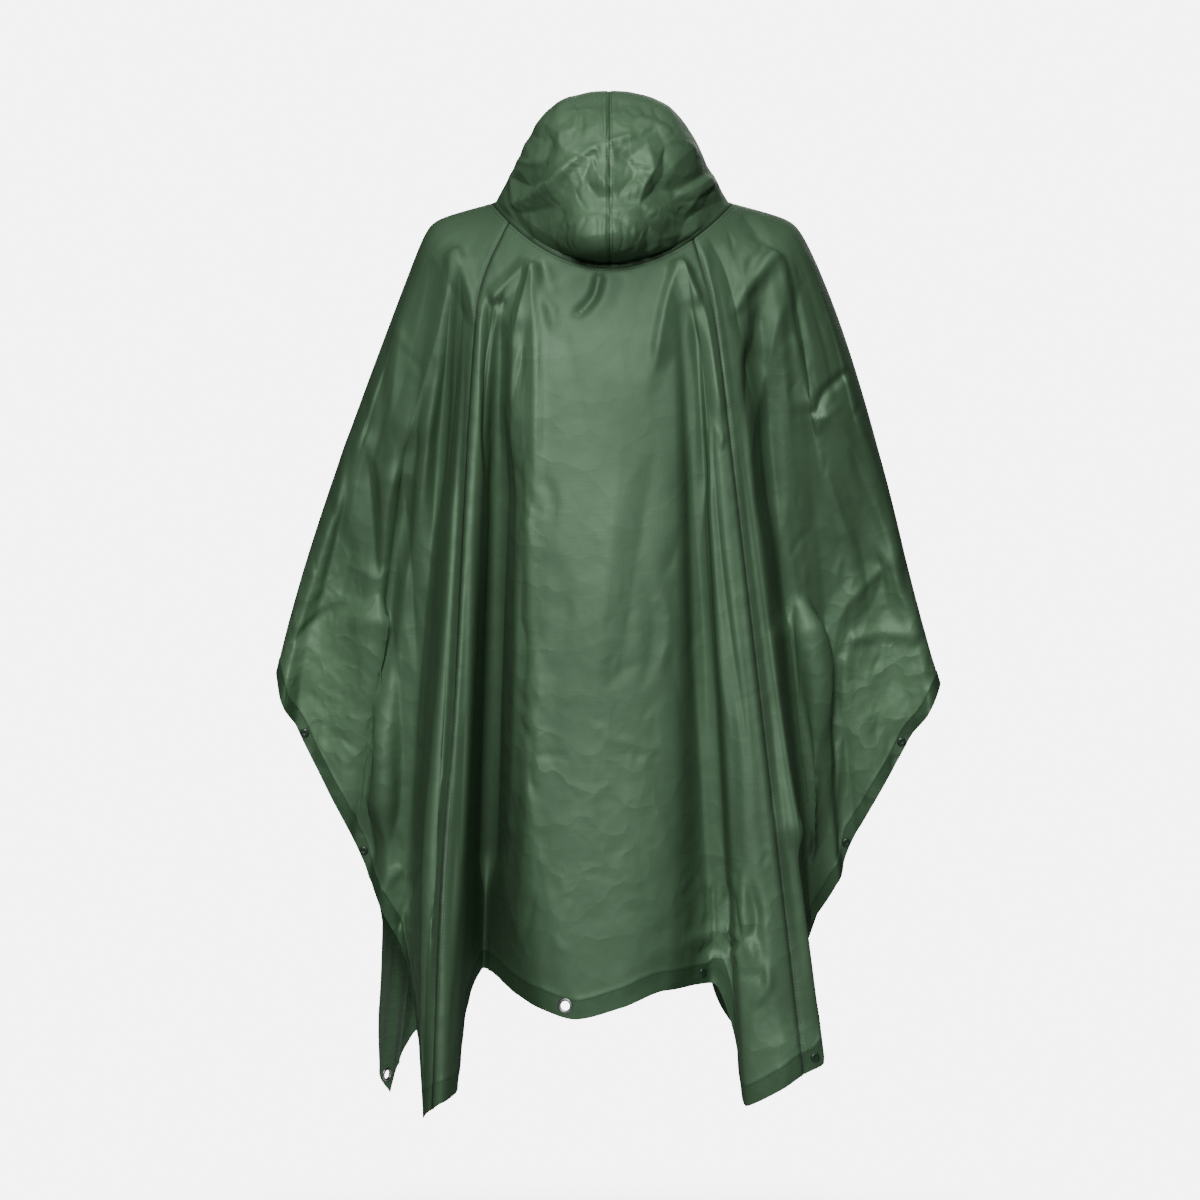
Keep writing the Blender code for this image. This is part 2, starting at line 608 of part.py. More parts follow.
def seat_on(panel, foot, rows_past, inset):
    """Where a fastening sits: a frame whose z points out of the panel's cloth, in its middle."""
    u = np.array(row_of(foot) + rows_past, float)
    _, _, yoke, fall = column_lengths(FOOT_CURVE.at(u))
    v = 1 - inset / (yoke + fall)
    point, normal = Vector(cloth_middle(u, v)), Vector(cloth_normal(u, v))
    skin = BVHTree.FromPolygons(
        [vertex.co for vertex in panel.data.vertices], [face.vertices for face in panel.data.polygons]
    )
    around = normal.orthogonal().normalized() * SEAT_RADIUS
    faced = Vector()
    for i in range(SEAT_PROBES):
        aside = Matrix.Rotation(2 * math.pi * i / SEAT_PROBES, 3, normal) @ around
        hit, facing = skin.ray_cast(point + aside + normal * PROBE, -normal)[:2]
        faced += facing if hit else normal
    normal = faced.normalized()
    outer = skin.ray_cast(point + normal * PROBE, -normal)[0]
    turn = Vector((0, 0, 1)).rotation_difference(normal).to_matrix().to_4x4()
    return Matrix.Translation(outer - normal * WALL / 2) @ turn


def turned(name, profile, closed, sides, seat, material, collection):
    """A solid turned about its z from a profile of (radius, height) points, top to bottom."""
    data = bpy.data.meshes.new(name)
    edges = [(i, i + 1) for i in range(len(profile) - 1)]
    if closed:
        edges.append((len(profile) - 1, 0))
    data.from_pydata([(radius, 0, height) for radius, height in profile], edges, [])
    piece = bpy.data.objects.new(name, data)
    piece.matrix_world = seat
    screw = piece.modifiers.new("turn", "SCREW")
    screw.axis = "Z"
    screw.steps = screw.render_steps = sides
    screw.use_merge_vertices = True
    screw.merge_threshold = 0.0001
    screw.use_smooth_shade = False
    data.materials.append(material)
    collection.objects.link(piece)
    return piece


def cut_hole(panel, name, radius, seat, cutters):
    mesh = bmesh.new()
    bmesh.ops.create_cone(
        mesh,
        cap_ends=True,
        segments=HOLE_SIDES,
        radius1=radius,
        radius2=radius,
        depth=CUTTER_LENGTH,
    )
    data = bpy.data.meshes.new(name)
    mesh.to_mesh(data)
    mesh.free()
    cutter = bpy.data.objects.new(name, data)
    cutter.matrix_world = seat
    cutter.hide_render = True
    cutter.display_type = "WIRE"
    cutters.objects.link(cutter)
    hole = panel.modifiers.new(name, "BOOLEAN")
    hole.object = cutter
    hole.operation = "DIFFERENCE"
    hole.solver = "EXACT"


def stud_profile(inner_end):
    """A press stud's half, from the top of its cap down to its socket or ball."""
    cap_under = WALL / 2 + CAP_GAP
    back_top = -WALL / 2 - BACK_GAP
    back_under = back_top - (STUD_BALL_BACK_HEIGHT if inner_end == "ball" else STUD_BACK_HEIGHT)
    dish = cap_under + STUD_CAP_HEIGHT * STUD_CAP_DISH
    profile = [
        (0, dish),
        (STUD_CAP_RADIUS * STUD_CAP_CREST, cap_under + STUD_CAP_HEIGHT),
        (STUD_CAP_RADIUS * STUD_CAP_SHOULDER, dish),
        (STUD_CAP_RADIUS, cap_under),
        (STUD_POST_RADIUS, cap_under),
        (STUD_POST_RADIUS, back_top),
        (STUD_BACK_RADIUS, back_top),
        (STUD_BACK_RADIUS, back_under),
    ]
    if inner_end == "ball":
        profile += [
            (STUD_BALL_RADIUS, back_under),
            (STUD_BALL_TIP_RADIUS, back_under - STUD_BALL_HEIGHT),
            (0, back_under - STUD_BALL_HEIGHT),
        ]
    else:
        profile += [
            (STUD_SOCKET_RADIUS, back_under),
            (STUD_SOCKET_RADIUS, back_under + STUD_SOCKET_DEPTH),
            (0, back_under + STUD_SOCKET_DEPTH),
        ]
    return profile


def eyelet_profile():
    """An eyelet's section: its barrel, with a flange on each face of the cloth."""
    under = WALL / 2 + EYELET_GAP
    top = under + EYELET_FLANGE_HEIGHT
    barrel = EYELET_HOLE_RADIUS + EYELET_BARREL
    crest = (EYELET_HOLE_RADIUS + EYELET_FLANGE_RADIUS) / 2
    upper = [
        (EYELET_HOLE_RADIUS, under),
        (crest - EYELET_BARREL * 2, top),
        (crest + EYELET_BARREL * 2, top),
        (EYELET_FLANGE_RADIUS, under),
        (barrel, under),
    ]
    return upper + [(radius, -height) for radius, height in reversed(upper)]


def plain_material(name, colour, roughness, metallic):
    material = bpy.data.materials.new(name)
    material.use_nodes = True
    shader = material.node_tree.nodes["Principled BSDF"]
    shader.inputs["Base Color"].default_value = (*colour, 1)
    shader.inputs["Roughness"].default_value = roughness
    shader.inputs["Metallic"].default_value = metallic
    material.diffuse_color = (*colour, 1)
    return material


def main():
    for thing in list(bpy.data.objects):
        bpy.data.objects.remove(thing, do_unlink=True)
    poncho = bpy.data.collections.new("rain_poncho")
    cutters = bpy.data.collections.new("cutters")
    for collection in (poncho, cutters):
        bpy.context.scene.collection.children.link(collection)
    cloth = plain_material("coated_nylon", CLOTH_GREEN, 0.45, 0.0)
    stud_green = plain_material("lacquered_stud", STUD_GREEN, 0.35, 0.6)
    eyelet_grey = plain_material("eyelet_metal", EYELET_GREY, 0.30, 1.0)

    panels = {}
    for name, first, last in (
        ("back_panel", "back_seam_right", "back_seam_left"),
        ("side_panel_left", "back_seam_left", "front_seam_left"),
        ("front_panel", "front_seam_left", "front_seam_right"),
        ("side_panel_right", "front_seam_right", "back_seam_right"),
    ):
        panels[name] = add_panel(name, first, last, cloth, poncho)
    add_hood_half("hood_left", 1, cloth, poncho)
    add_hood_half("hood_right", -1, cloth, poncho)

    for name, panel, foot, rows_past, inset, inner_end in STUDS:
        seat = seat_on(panels[panel], foot, rows_past, inset)
        cut_hole(panels[panel], name + "_hole", STUD_HOLE_RADIUS, seat, cutters)
        turned(name, stud_profile(inner_end), False, STUD_SIDES, seat, stud_green, poncho)
    for name, panel, foot, rows_past, inset in EYELETS:
        seat = seat_on(panels[panel], foot, rows_past, inset)
        radius = EYELET_HOLE_RADIUS + EYELET_BARREL + SEAM_GAP
        cut_hole(panels[panel], name + "_hole", radius, seat, cutters)
        turned(name, eyelet_profile(), True, EYELET_SIDES, seat, eyelet_grey, poncho)


main()
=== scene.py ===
"""A hooded rain poncho in dark green coated nylon, filled out as it is worn, with nobody inside it.

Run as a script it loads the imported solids, dresses them with creased cloth shells, stitching, press
studs and eyelets, and sets a plain studio round them. Metres, +Z up; the wearer faces -Y.
"""

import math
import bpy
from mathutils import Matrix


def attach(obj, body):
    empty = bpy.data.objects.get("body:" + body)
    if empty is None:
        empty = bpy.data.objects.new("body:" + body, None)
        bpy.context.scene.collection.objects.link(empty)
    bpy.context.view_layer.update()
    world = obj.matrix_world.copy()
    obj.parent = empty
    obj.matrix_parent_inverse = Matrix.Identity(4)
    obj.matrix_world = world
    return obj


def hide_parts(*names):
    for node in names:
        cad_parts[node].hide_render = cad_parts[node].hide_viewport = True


bl_info = {
    "name": "Rain Poncho",
    "version": (1, 0, 0),
    "blender": (4, 5, 0),
    "location": "3D View > Sidebar > Rain Poncho",
    "description": "Creased cloth, stitching, press studs and eyelets of a hooded rain poncho",
    "category": "Object",
}

import bmesh
import bpy
import numpy as np
from bpy.props import FloatProperty, FloatVectorProperty, PointerProperty
from mathutils import Matrix, Vector
from mathutils.geometry import delaunay_2d_cdt

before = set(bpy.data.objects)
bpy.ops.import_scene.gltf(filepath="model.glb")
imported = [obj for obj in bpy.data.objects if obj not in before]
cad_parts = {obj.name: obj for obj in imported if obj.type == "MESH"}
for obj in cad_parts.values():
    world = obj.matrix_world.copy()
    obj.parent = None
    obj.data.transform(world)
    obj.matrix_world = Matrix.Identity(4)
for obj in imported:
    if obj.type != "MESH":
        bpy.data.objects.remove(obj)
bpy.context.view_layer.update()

# ---------------------------------------------------------------------------------------------------
# The cloth's form: the same curves and tables as its solids
# ---------------------------------------------------------------------------------------------------

SEAM_GAP = -0.0003  # the pieces of cloth meet and lap by this much

# Neck seam: an oval that dips at the back and at the front
NECK_HALF_WIDTH = 0.1465
NECK_SHIFT_RIGHT = 0.004
NECK_BACK = 0.125
NECK_FRONT = 0.105
NECK_SIDE_HEIGHT = 0.026
NECK_DIP = 0.090
NECK_DIP_POWER = 1.8

# Hang line: a squarish oval round the shoulders and the shoulder blades
HANG_HALF_WIDTH = 0.2265
HANG_SHIFT_RIGHT = 0.0045
HANG_BACK = 0.142
HANG_FRONT = 0.140
HANG_SQUARENESS = 0.833
HANG_SIDE_HEIGHT = 0.006
HANG_DIP = 0.133
HANG_DIP_POWER = 1.3
SHOULDER_ROUNDING = 0.018
BLADE_ROUNDING = 0.045
SHOULDER_SHARPNESS = 4
NECK_LEAD_DEG = 16.0
PRESSED_FLAT = 0.010  # on each side of a stud, along the lower edge, where front and back lie together
PRESSED_BLEND = 0.012
HEIGHT_WEIGHT = 0.3  # of a step in height along the lower edge, beside one of a step in x or y

# How far apart two places are that give a slope, in rows of FEET and in shares of a column
NUDGE_U = 0.02
NUDGE_V = 0.004
SEAM_SAMPLES = 40  # from one row of FEET to the next

# One row for each fold, edge or fastening round the lower edge, from the middle of the back towards
# the wearer's left: its name, the angle where its column crosses the hang line (0 is the middle of
# the back, 90 the left shoulder) and its foot.
FEET = (
    # name, hang_deg, foot_x, foot_y, foot_z
    ("back_middle", 6, 0.041, 0.205, -0.952),
    ("back_flat_left", 21, 0.080, 0.190, -0.941),
    ("back_valley_left", 31, 0.154, 0.000, -0.915),
    ("back_wall_left", 34, 0.172, 0.110, -0.955),
    ("back_pipe_inner_left", 36.5, 0.180, 0.185, -1.037),
    ("back_pipe_left", 40, 0.197, 0.215, -1.049),
    ("back_seam_left", 42, 0.206, 0.213, -1.056),
    ("back_corner_left", 45, 0.216, 0.200, -1.069),
    ("back_edge_low_left", 48, 0.222, 0.180, -0.986),
    ("back_edge_tuck_left", 51, 0.233, 0.110, -0.946),
    ("sleeve_valley_back_left", 54.5, 0.255, 0.020, -0.884),
    ("sleeve_flap_left", 58.5, 0.276, 0.026, -0.845),
    ("stud_low_back_left", 64, 0.303, 0.0022, -0.781),
    ("stud_gape_back_left", 70, 0.336, 0.014, -0.713),
    ("stud_high_back_left", 76, 0.376, 0.0022, -0.636),
    ("cuff_back_left", 78.3, 0.384, 0.0045, -0.619),
    ("wrist_back_left", 83, 0.400, 0.026, -0.590),
    ("wrist_left", 90, 0.409, 0.000, -0.551),
    ("wrist_front_left", 97, 0.400, -0.026, -0.590),
    ("cuff_front_left", 101.7, 0.384, -0.0045, -0.619),
    ("stud_high_front_left", 104, 0.376, -0.0022, -0.636),
    ("stud_gape_front_left", 110, 0.336, -0.014, -0.713),
    ("stud_low_front_left", 116, 0.303, -0.0022, -0.781),
    ("front_edge_left", 122, 0.282, -0.050, -0.867),
    ("front_edge_low_left", 128, 0.288, -0.080, -1.000),
    ("front_edge_tip_left", 131, 0.2885, -0.100, -1.060),
    ("front_corner_left", 134, 0.277, -0.122, -1.087),
    ("front_seam_left", 137, 0.2675, -0.141, -1.052),
    ("front_pipe_left", 140, 0.254, -0.165, -1.023),
    ("front_pipe_inner_left", 146, 0.220, -0.150, -0.985),
    ("front_valley_left", 155, 0.150, -0.020, -0.905),
    ("front_flat_left", 165, 0.085, -0.195, -0.932),
    ("front_middle", 180, 0.000, -0.220, -0.945),
    ("front_flat_right", 195, -0.070, -0.200, -0.932),
    ("front_valley_right", 204, -0.112, -0.055, -0.905),
    ("front_pipe_inner_right", 213, -0.155, -0.165, -1.000),
    ("front_pipe_right", 219, -0.185, -0.180, -1.022),
    ("front_seam_right", 222, -0.200, -0.165, -1.030),
    ("front_corner_right", 226, -0.212, -0.145, -1.036),
    ("front_edge_low_right", 232, -0.232, -0.100, -0.950),
    ("front_edge_right", 238, -0.258, -0.045, -0.855),
    ("stud_low_front_right", 244, -0.293, -0.0022, -0.772),
    ("stud_gape_front_right", 250, -0.328, -0.014, -0.706),
    ("stud_high_front_right", 256, -0.362, -0.0022, -0.647),
    ("cuff_front_right", 258.3, -0.3705, -0.0045, -0.631),
    ("wrist_front_right", 263, -0.392, -0.026, -0.600),
    ("wrist_right", 270, -0.407, 0.000, -0.565),
    ("wrist_back_right", 277, -0.392, 0.026, -0.600),
    ("cuff_back_right", 281.7, -0.3705, 0.0045, -0.631),
    ("stud_high_back_right", 284, -0.362, 0.0022, -0.647),
    ("stud_gape_back_right", 290, -0.328, 0.014, -0.706),
    ("stud_low_back_right", 296, -0.293, 0.0022, -0.772),
    ("sleeve_notch_right", 304, -0.283, 0.016, -0.803),
    ("sleeve_valley_back_right", 313, -0.249, 0.000, -0.858),
    ("back_edge_tuck_right", 319, -0.237, 0.110, -0.870),
    ("back_edge_low_right", 324, -0.242, 0.185, -0.942),
    ("back_corner_right", 328, -0.251, 0.200, -1.003),
    ("back_seam_right", 331, -0.2265, 0.208, -1.016),
    ("back_pipe_right", 333.5, -0.200, 0.215, -1.033),
    ("back_pipe_inner_right", 336, -0.160, 0.205, -1.053),
    ("back_tuck_right", 338, -0.150, 0.135, -0.985),
    ("back_valley_right", 341, -0.124, 0.130, -0.918),
    ("back_flat_right", 345, -0.066, 0.190, -0.920),
    ("back_middle_right", 355, -0.013, 0.205, -0.939),
)
NAME, HANG_DEG = 0, 1
CORNERS = ("back_corner_left", "front_corner_left", "front_corner_right", "back_corner_right")
PRESSED = tuple(
    f"stud_{level}_{face}_{side}"
    for level in ("low", "high")
    for face in ("back", "front")
    for side in ("left", "right")
)

# How far a column bows away from straight, a third and two thirds of the way down, and whether its
# depth levels off before the foot (1), as it does where the front and back are pressed together.
BOWS = {
    # name: (high_x, high_y, low_x, low_y, levels_off)
    "back_flat_left": (0.004, 0.0, 0.008, 0.0, 0),
    "sleeve_flap_left": (0.0, 0.016, 0.0, 0.006, 0.5),
    "stud_low_back_left": (0.002, 0.030, 0.002, 0.0, 1),
    "stud_gape_back_left": (0.001, 0.034, 0.005, 0.0, 1),
    "stud_high_back_left": (0.002, 0.034, 0.008, 0.0, 1),
    "cuff_back_left": (0.002, 0.032, 0.008, 0.001, 0.8),
    "wrist_back_left": (0.002, 0.012, 0.009, 0.003, 0),
    "wrist_left": (0.002, 0.0, 0.009, 0.0, 0),
    "wrist_front_left": (0.002, -0.012, 0.009, -0.003, 0),
    "cuff_front_left": (0.002, -0.032, 0.008, -0.001, 0.8),
    "stud_high_front_left": (0.002, -0.034, 0.008, 0.0, 1),
    "stud_gape_front_left": (0.001, -0.034, 0.005, 0.0, 1),
    "stud_low_front_left": (0.002, -0.030, 0.002, 0.0, 1),
    "stud_low_front_right": (-0.004, -0.030, 0.0, 0.0, 1),
    "stud_gape_front_right": (-0.008, -0.034, 0.0, 0.0, 1),
    "stud_high_front_right": (-0.014, -0.034, 0.0, 0.0, 1),
    "cuff_front_right": (-0.014, -0.032, 0.0, -0.001, 0.8),
    "wrist_front_right": (-0.015, -0.012, 0.0, -0.003, 0),
    "wrist_right": (-0.015, 0.0, 0.0, 0.0, 0),
    "wrist_back_right": (-0.015, 0.012, 0.0, 0.003, 0),
    "cuff_back_right": (-0.014, 0.032, 0.0, 0.001, 0.8),
    "stud_high_back_right": (-0.014, 0.034, 0.0, 0.0, 1),
    "stud_gape_back_right": (-0.008, 0.034, 0.0, 0.0, 1),
    "stud_low_back_right": (-0.004, 0.030, 0.0, 0.0, 1),
    "sleeve_notch_right": (0.0, 0.020, 0.0, 0.004, 0.6),
    "back_flat_right": (-0.004, 0.0, -0.006, 0.0, 0),
}
NO_BOW = (0.0, 0.0, 0.0, 0.0, 0.0)
BOW_SCALE = 6.75  # makes a bow its full size at its third of the way

# What a foot curve gives at each column
HANG = 0
FOOT = slice(1, 4)
FOOT_Y = 2
FOOT_Z = 3
HIGH_BOW = slice(4, 6)
LOW_BOW = slice(6, 8)
LEVELS_OFF = 8

# Hood: its middle seam from the brow edge over the crown to the nape
HOOD_RIDGE = (
    # along, y, z
    (0.00, -0.135, 0.100),
    (0.15, -0.105, 0.135),
    (0.33, -0.035, 0.157),
    (0.52, 0.050, 0.156),
    (0.68, 0.112, 0.112),
    (0.80, 0.140, 0.050),
    (0.90, 0.165, -0.012),
    (0.96, 0.160, -0.046),
    (1.00, 0.128, -0.060),
)
# and its arches, from the neck seam up to the middle seam
HOOD_ARCH = (
    # climbed, width, rise, lean
    (0.00, 1.000, 0.000, 0.00),
    (0.15, 0.905, 0.165, 0.22),
    (0.30, 0.810, 0.345, 0.45),
    (0.45, 0.720, 0.545, 0.66),
    (0.60, 0.600, 0.745, 0.83),
    (0.75, 0.430, 0.905, 0.94),
    (0.90, 0.185, 0.985, 0.99),
    (1.00, 0.000, 1.000, 1.00),
)
HOOD_FRONT_DEG = 172.0
HOOD_NAPE_DEG = 12.0
HOOD_FACE_BULGE = 0.080
HOOD_FACE_REACH = 0.40
HOOD_FACE_FADE = 1.5
HOOD_NAPE_REACH = 0.08
HOOD_NAPE_FADE = 3
HOOD_STAND = 0.004  # from the panels' top edges up to where the hood's form starts
HOOD_CORNER = 0.90


def signed_power(value, power):
    return np.sign(value) * np.abs(value) ** power


def unit(vectors):
    return vectors / np.linalg.norm(vectors, axis=-1, keepdims=True)


def smoothstep(share):
    """Eases from 0 to 1."""
    share = np.clip(share, 0, 1)
    return share * share * (3 - 2 * share)


def bell(distance, reach):
    """1 where the distance is 0, dying away over the reach."""
    return np.exp(-((distance / reach) ** 2))


def cubic(t, start, leaving, end, arriving):
    """A cubic from start to end as t goes from 0 to 1, with its slopes at both."""
    return (
        (2 * t**3 - 3 * t**2 + 1) * start
        + (t**3 - 2 * t**2 + t) * leaving
        + (3 * t**2 - 2 * t**3) * end
        + (t**3 - t**2) * arriving
    )


def neck_angle(hang_deg):
    """Where on the neck seam the column that crosses the hang line at hang_deg begins."""
    return hang_deg + NECK_LEAD_DEG * np.sin(np.radians(2 * hang_deg))


def neck_seam(degrees):
    """Points of the neck seam. 0 is the middle of the back and 90 the left side of the neck."""
    angle = np.radians(degrees)
    depth = np.where(np.cos(angle) > 0, NECK_BACK, NECK_FRONT)
    height = NECK_SIDE_HEIGHT - NECK_DIP * np.abs(np.cos(angle)) ** NECK_DIP_POWER
    across = NECK_HALF_WIDTH * np.sin(angle) - NECK_SHIFT_RIGHT * np.sin(angle) ** 2
    return np.stack([across, depth * np.cos(angle), height], axis=-1)


def hang_line(degrees):
    """Points where the cloth leaves the shoulders and starts to fall."""
    angle = np.radians(degrees)
    depth = np.where(np.cos(angle) > 0, HANG_BACK, HANG_FRONT)
    height = HANG_SIDE_HEIGHT - HANG_DIP * np.abs(np.cos(angle)) ** HANG_DIP_POWER
    across = HANG_HALF_WIDTH * signed_power(np.sin(angle), HANG_SQUARENESS)
    across = across - HANG_SHIFT_RIGHT * np.sin(angle) ** 2
    return np.stack([across, depth * signed_power(np.cos(angle), HANG_SQUARENESS), height], axis=-1)


def row_of(name):
    return next(i for i, row in enumerate(FEET) if row[NAME] == name)


class FootCurve:
    """The closed curve through the feet, and with it each column's hang angle and bow.

    It never swings past a foot. The heights turn sharply at the four corners of the cloth, and the
    depths are level where studs press the front and the back together.
    """

    def __init__(self):
        rows = [row[HANG_DEG:] + BOWS.get(row[NAME], NO_BOW) for row in FEET]
        values = np.array(rows + [rows[0]], float)
        values[-1, HANG] += 360
        steps = np.diff(values[:, FOOT], axis=0) * (1, 1, HEIGHT_WEIGHT)
        self.spans = np.linalg.norm(steps, axis=1)
        self.values = values
        after = np.diff(values, axis=0) / self.spans[:, None]
        before = np.roll(after, 1, axis=0)
        width_after, width_before = self.spans[:, None], np.roll(self.spans, 1)[:, None]
        weight_before, weight_after = 2 * width_after + width_before, width_after + 2 * width_before
        same_way = before * after > 0
        ease = np.where(same_way, weight_before * after + weight_after * before, 1)
        smooth = np.where(same_way, (weight_before + weight_after) * before * after / ease, 0)
        self.leaving, self.arriving = smooth.copy(), smooth.copy()
        for name in CORNERS:
            row = row_of(name)
            self.leaving[row, FOOT_Z] = after[row, FOOT_Z]
            self.arriving[row, FOOT_Z] = before[row, FOOT_Z]
        self.reached = np.append(0, np.cumsum(self.spans))

    def at(self, u):
        """Hang angle, foot x, y, z and the five bow values at u, which counts rows of FEET."""
        u = np.asarray(u, float) % len(FEET)
        row = np.minimum(u.astype(int), len(FEET) - 1)
        t = (u - row)[..., None]
        span = self.spans[row][..., None]
        start, end = self.values[row], self.values[row + 1]
        leave = self.leaving[row] * span
        arrive = self.arriving[(row + 1) % len(FEET)] * span
        found = cubic(t, start, leave, end, arrive)
        place = self.reached[row] + (u - row) * self.spans[row]
        for name in PRESSED:
            stud = row_of(name)
            apart = np.abs(place - self.reached[stud])
            freed = smoothstep((apart - PRESSED_FLAT) / PRESSED_BLEND)
            pressed = self.values[stud, FOOT_Y]
            found[..., FOOT_Y] = pressed + (found[..., FOOT_Y] - pressed) * freed
        return found


FOOT_CURVE = FootCurve()


def column_lengths(found):
    """Each column's start, its turn over the hang line, and the lengths of its two stretches."""
    neck = neck_seam(neck_angle(found[..., HANG]))
    hang = hang_line(found[..., HANG])
    yoke = np.linalg.norm(hang - neck, axis=-1)
    fall = np.linalg.norm(found[..., FOOT] - hang, axis=-1)
    return neck, hang, yoke, fall


def cloth_middle(u, v):
    """The middle of the cloth's wall at column u. v is 0 at the neck seam and 1 at the foot."""
    u, v = np.broadcast_arrays(np.asarray(u, float), np.asarray(v, float))
    found = FOOT_CURVE.at(u)
    neck, hang, yoke, fall = column_lengths(found)
    sideways = np.sin(np.radians(found[..., HANG])) ** SHOULDER_SHARPNESS
    rounding = BLADE_ROUNDING + (SHOULDER_ROUNDING - BLADE_ROUNDING) * sideways
    fallen = rounded_fall(v * (yoke + fall), yoke, fall, rounding)
    on_yoke = ((v * (yoke + fall) - fallen) / yoke)[..., None]
    down = (fallen / fall)[..., None]
    points = neck + (hang - neck) * on_yoke + (found[..., FOOT] - hang) * down
    level = (found[..., FOOT_Y] - hang[..., 1]) * found[..., LEVELS_OFF]
    points[..., 1] += level * (down * (1 - down))[..., 0]
    high, low = BOW_SCALE * down * (1 - down) ** 2, BOW_SCALE * down**2 * (1 - down)
    points[..., :2] += found[..., HIGH_BOW] * high + found[..., LOW_BOW] * low
    return points


def rounded_fall(along, yoke, fall, rounding):
    """How far a column has fallen, with the turn over the hang line rounded off."""

    def soft(past):
        return (past + np.sqrt(past**2 + rounding**2)) / 2

    share = along / (yoke + fall)
    return soft(along - yoke) - soft(-yoke) * (1 - share) - (soft(fall) - fall) * share


def cloth_normal(u, v):
    """Outward unit normals of the cloth."""
    low, high = np.maximum(v - NUDGE_V, 0), np.minimum(v + NUDGE_V, 1)
    along = cloth_middle(u, high) - cloth_middle(u, low)
    across = cloth_middle(u + NUDGE_U, v) - cloth_middle(u - NUDGE_U, v)
    return unit(np.cross(across, along))


def hold_back(points, edge, inner):
    """Moves an edge column of points half a seam gap towards the column inside it."""
    points[:, edge] += unit(points[:, inner] - points[:, edge]) * SEAM_GAP / 2


def smooth_table(table, at):
    """A smooth curve through a table whose first column is where each row lies."""
    table = np.array(table, float)
    knots, values = table[:, 0], table[:, 1:]
    slopes = np.diff(values, axis=0) / np.diff(knots)[:, None]
    tangents = np.concatenate([slopes[:1], (slopes[1:] + slopes[:-1]) / 2, slopes[-1:]])
    row = np.clip(np.searchsorted(knots, at, side="right") - 1, 0, len(knots) - 2)
    width = (knots[row + 1] - knots[row])[..., None]
    t = (at - knots[row])[..., None] / width
    return cubic(t, values[row], width * tangents[row], values[row + 1], width * tangents[row + 1])


def seam_edge(neck_deg):
    """Top edges of the panels at angles round the neck: their points, the way that the cloth runs
    up into the hood, and the outward normals."""
    u = np.linspace(0, len(FEET), SEAM_SAMPLES * len(FEET) + 1)
    reached = neck_angle(FOOT_CURVE.at(u)[..., HANG])
    reached[-1] += 360
    column = np.interp(np.mod(neck_deg - reached[0], 360) + reached[0], reached, u)
    top = cloth_middle(column, 0)
    up = top - cloth_middle(column, NUDGE_V)
    return top, unit(up), cloth_normal(column, 0 * column)


def hood_middle(side, along, climbed):
    """The middle of the hood's wall on one side, 1 for the left and -1 for the right. along is 0 at
    the brow edge and 1 at the nape. climbed is 0 just over the neck seam and 1 on the middle seam."""
    along, climbed = np.broadcast_arrays(np.asarray(along, float), np.asarray(climbed, float))
    seam_deg = side * (HOOD_FRONT_DEG + (HOOD_NAPE_DEG - HOOD_FRONT_DEG) * along)
    top, up, _ = seam_edge(seam_deg)
    base = top + up * HOOD_STAND
    ridge = smooth_table(HOOD_RIDGE, along)
    width, rise, lean = np.moveaxis(smooth_table(HOOD_ARCH, climbed), -1, 0)
    face = np.clip(1 - along / HOOD_FACE_REACH, 0, 1) ** HOOD_FACE_FADE
    x = base[..., 0] * width + side * HOOD_FACE_BULGE * face * np.sin(np.pi * climbed)
    y = base[..., 1] + (ridge[..., 0] - base[..., 1]) * lean
    z = base[..., 2] + (ridge[..., 1] - base[..., 2]) * rise
    points = np.stack([x, y, z], axis=-1)
    nape_top, nape_up, _ = seam_edge(seam_deg * (1 - climbed))
    near_nape = np.clip((along - 1) / HOOD_NAPE_REACH + 1, 0, 1)[..., None] ** HOOD_NAPE_FADE
    return points + (nape_top + nape_up * HOOD_STAND - points) * near_nape


def hood_normal(side, along, climbed):
    """Outward unit normals of the hood."""
    low_s, high_s = np.maximum(along - NUDGE_V, 0), np.minimum(along + NUDGE_V, 1)
    low_t, high_t = np.maximum(climbed - NUDGE_V, 0), np.minimum(climbed + NUDGE_V, 1)
    back = hood_middle(side, high_s, climbed) - hood_middle(side, low_s, climbed)
    over = hood_middle(side, along, high_t) - hood_middle(side, along, low_t)
    return unit(np.cross(back, over) * side)


# ---------------------------------------------------------------------------------------------------
# Creases, listed one by one. Each is a line over the cloth as someone sees it who stands behind the
# wearer (BACK and HOOD) or in front (FRONT), in millimetres: x to the wearer's left and z up.
# ---------------------------------------------------------------------------------------------------

# The eye, which is also the camera's place
EYE_HEIGHT = -0.462
EYE_DISTANCE = 4.0
EYE_SIDE = 0.011
PICTURE_DEPTH = 0.1  # the upright plane that the lines are drawn on lies this far towards the eye

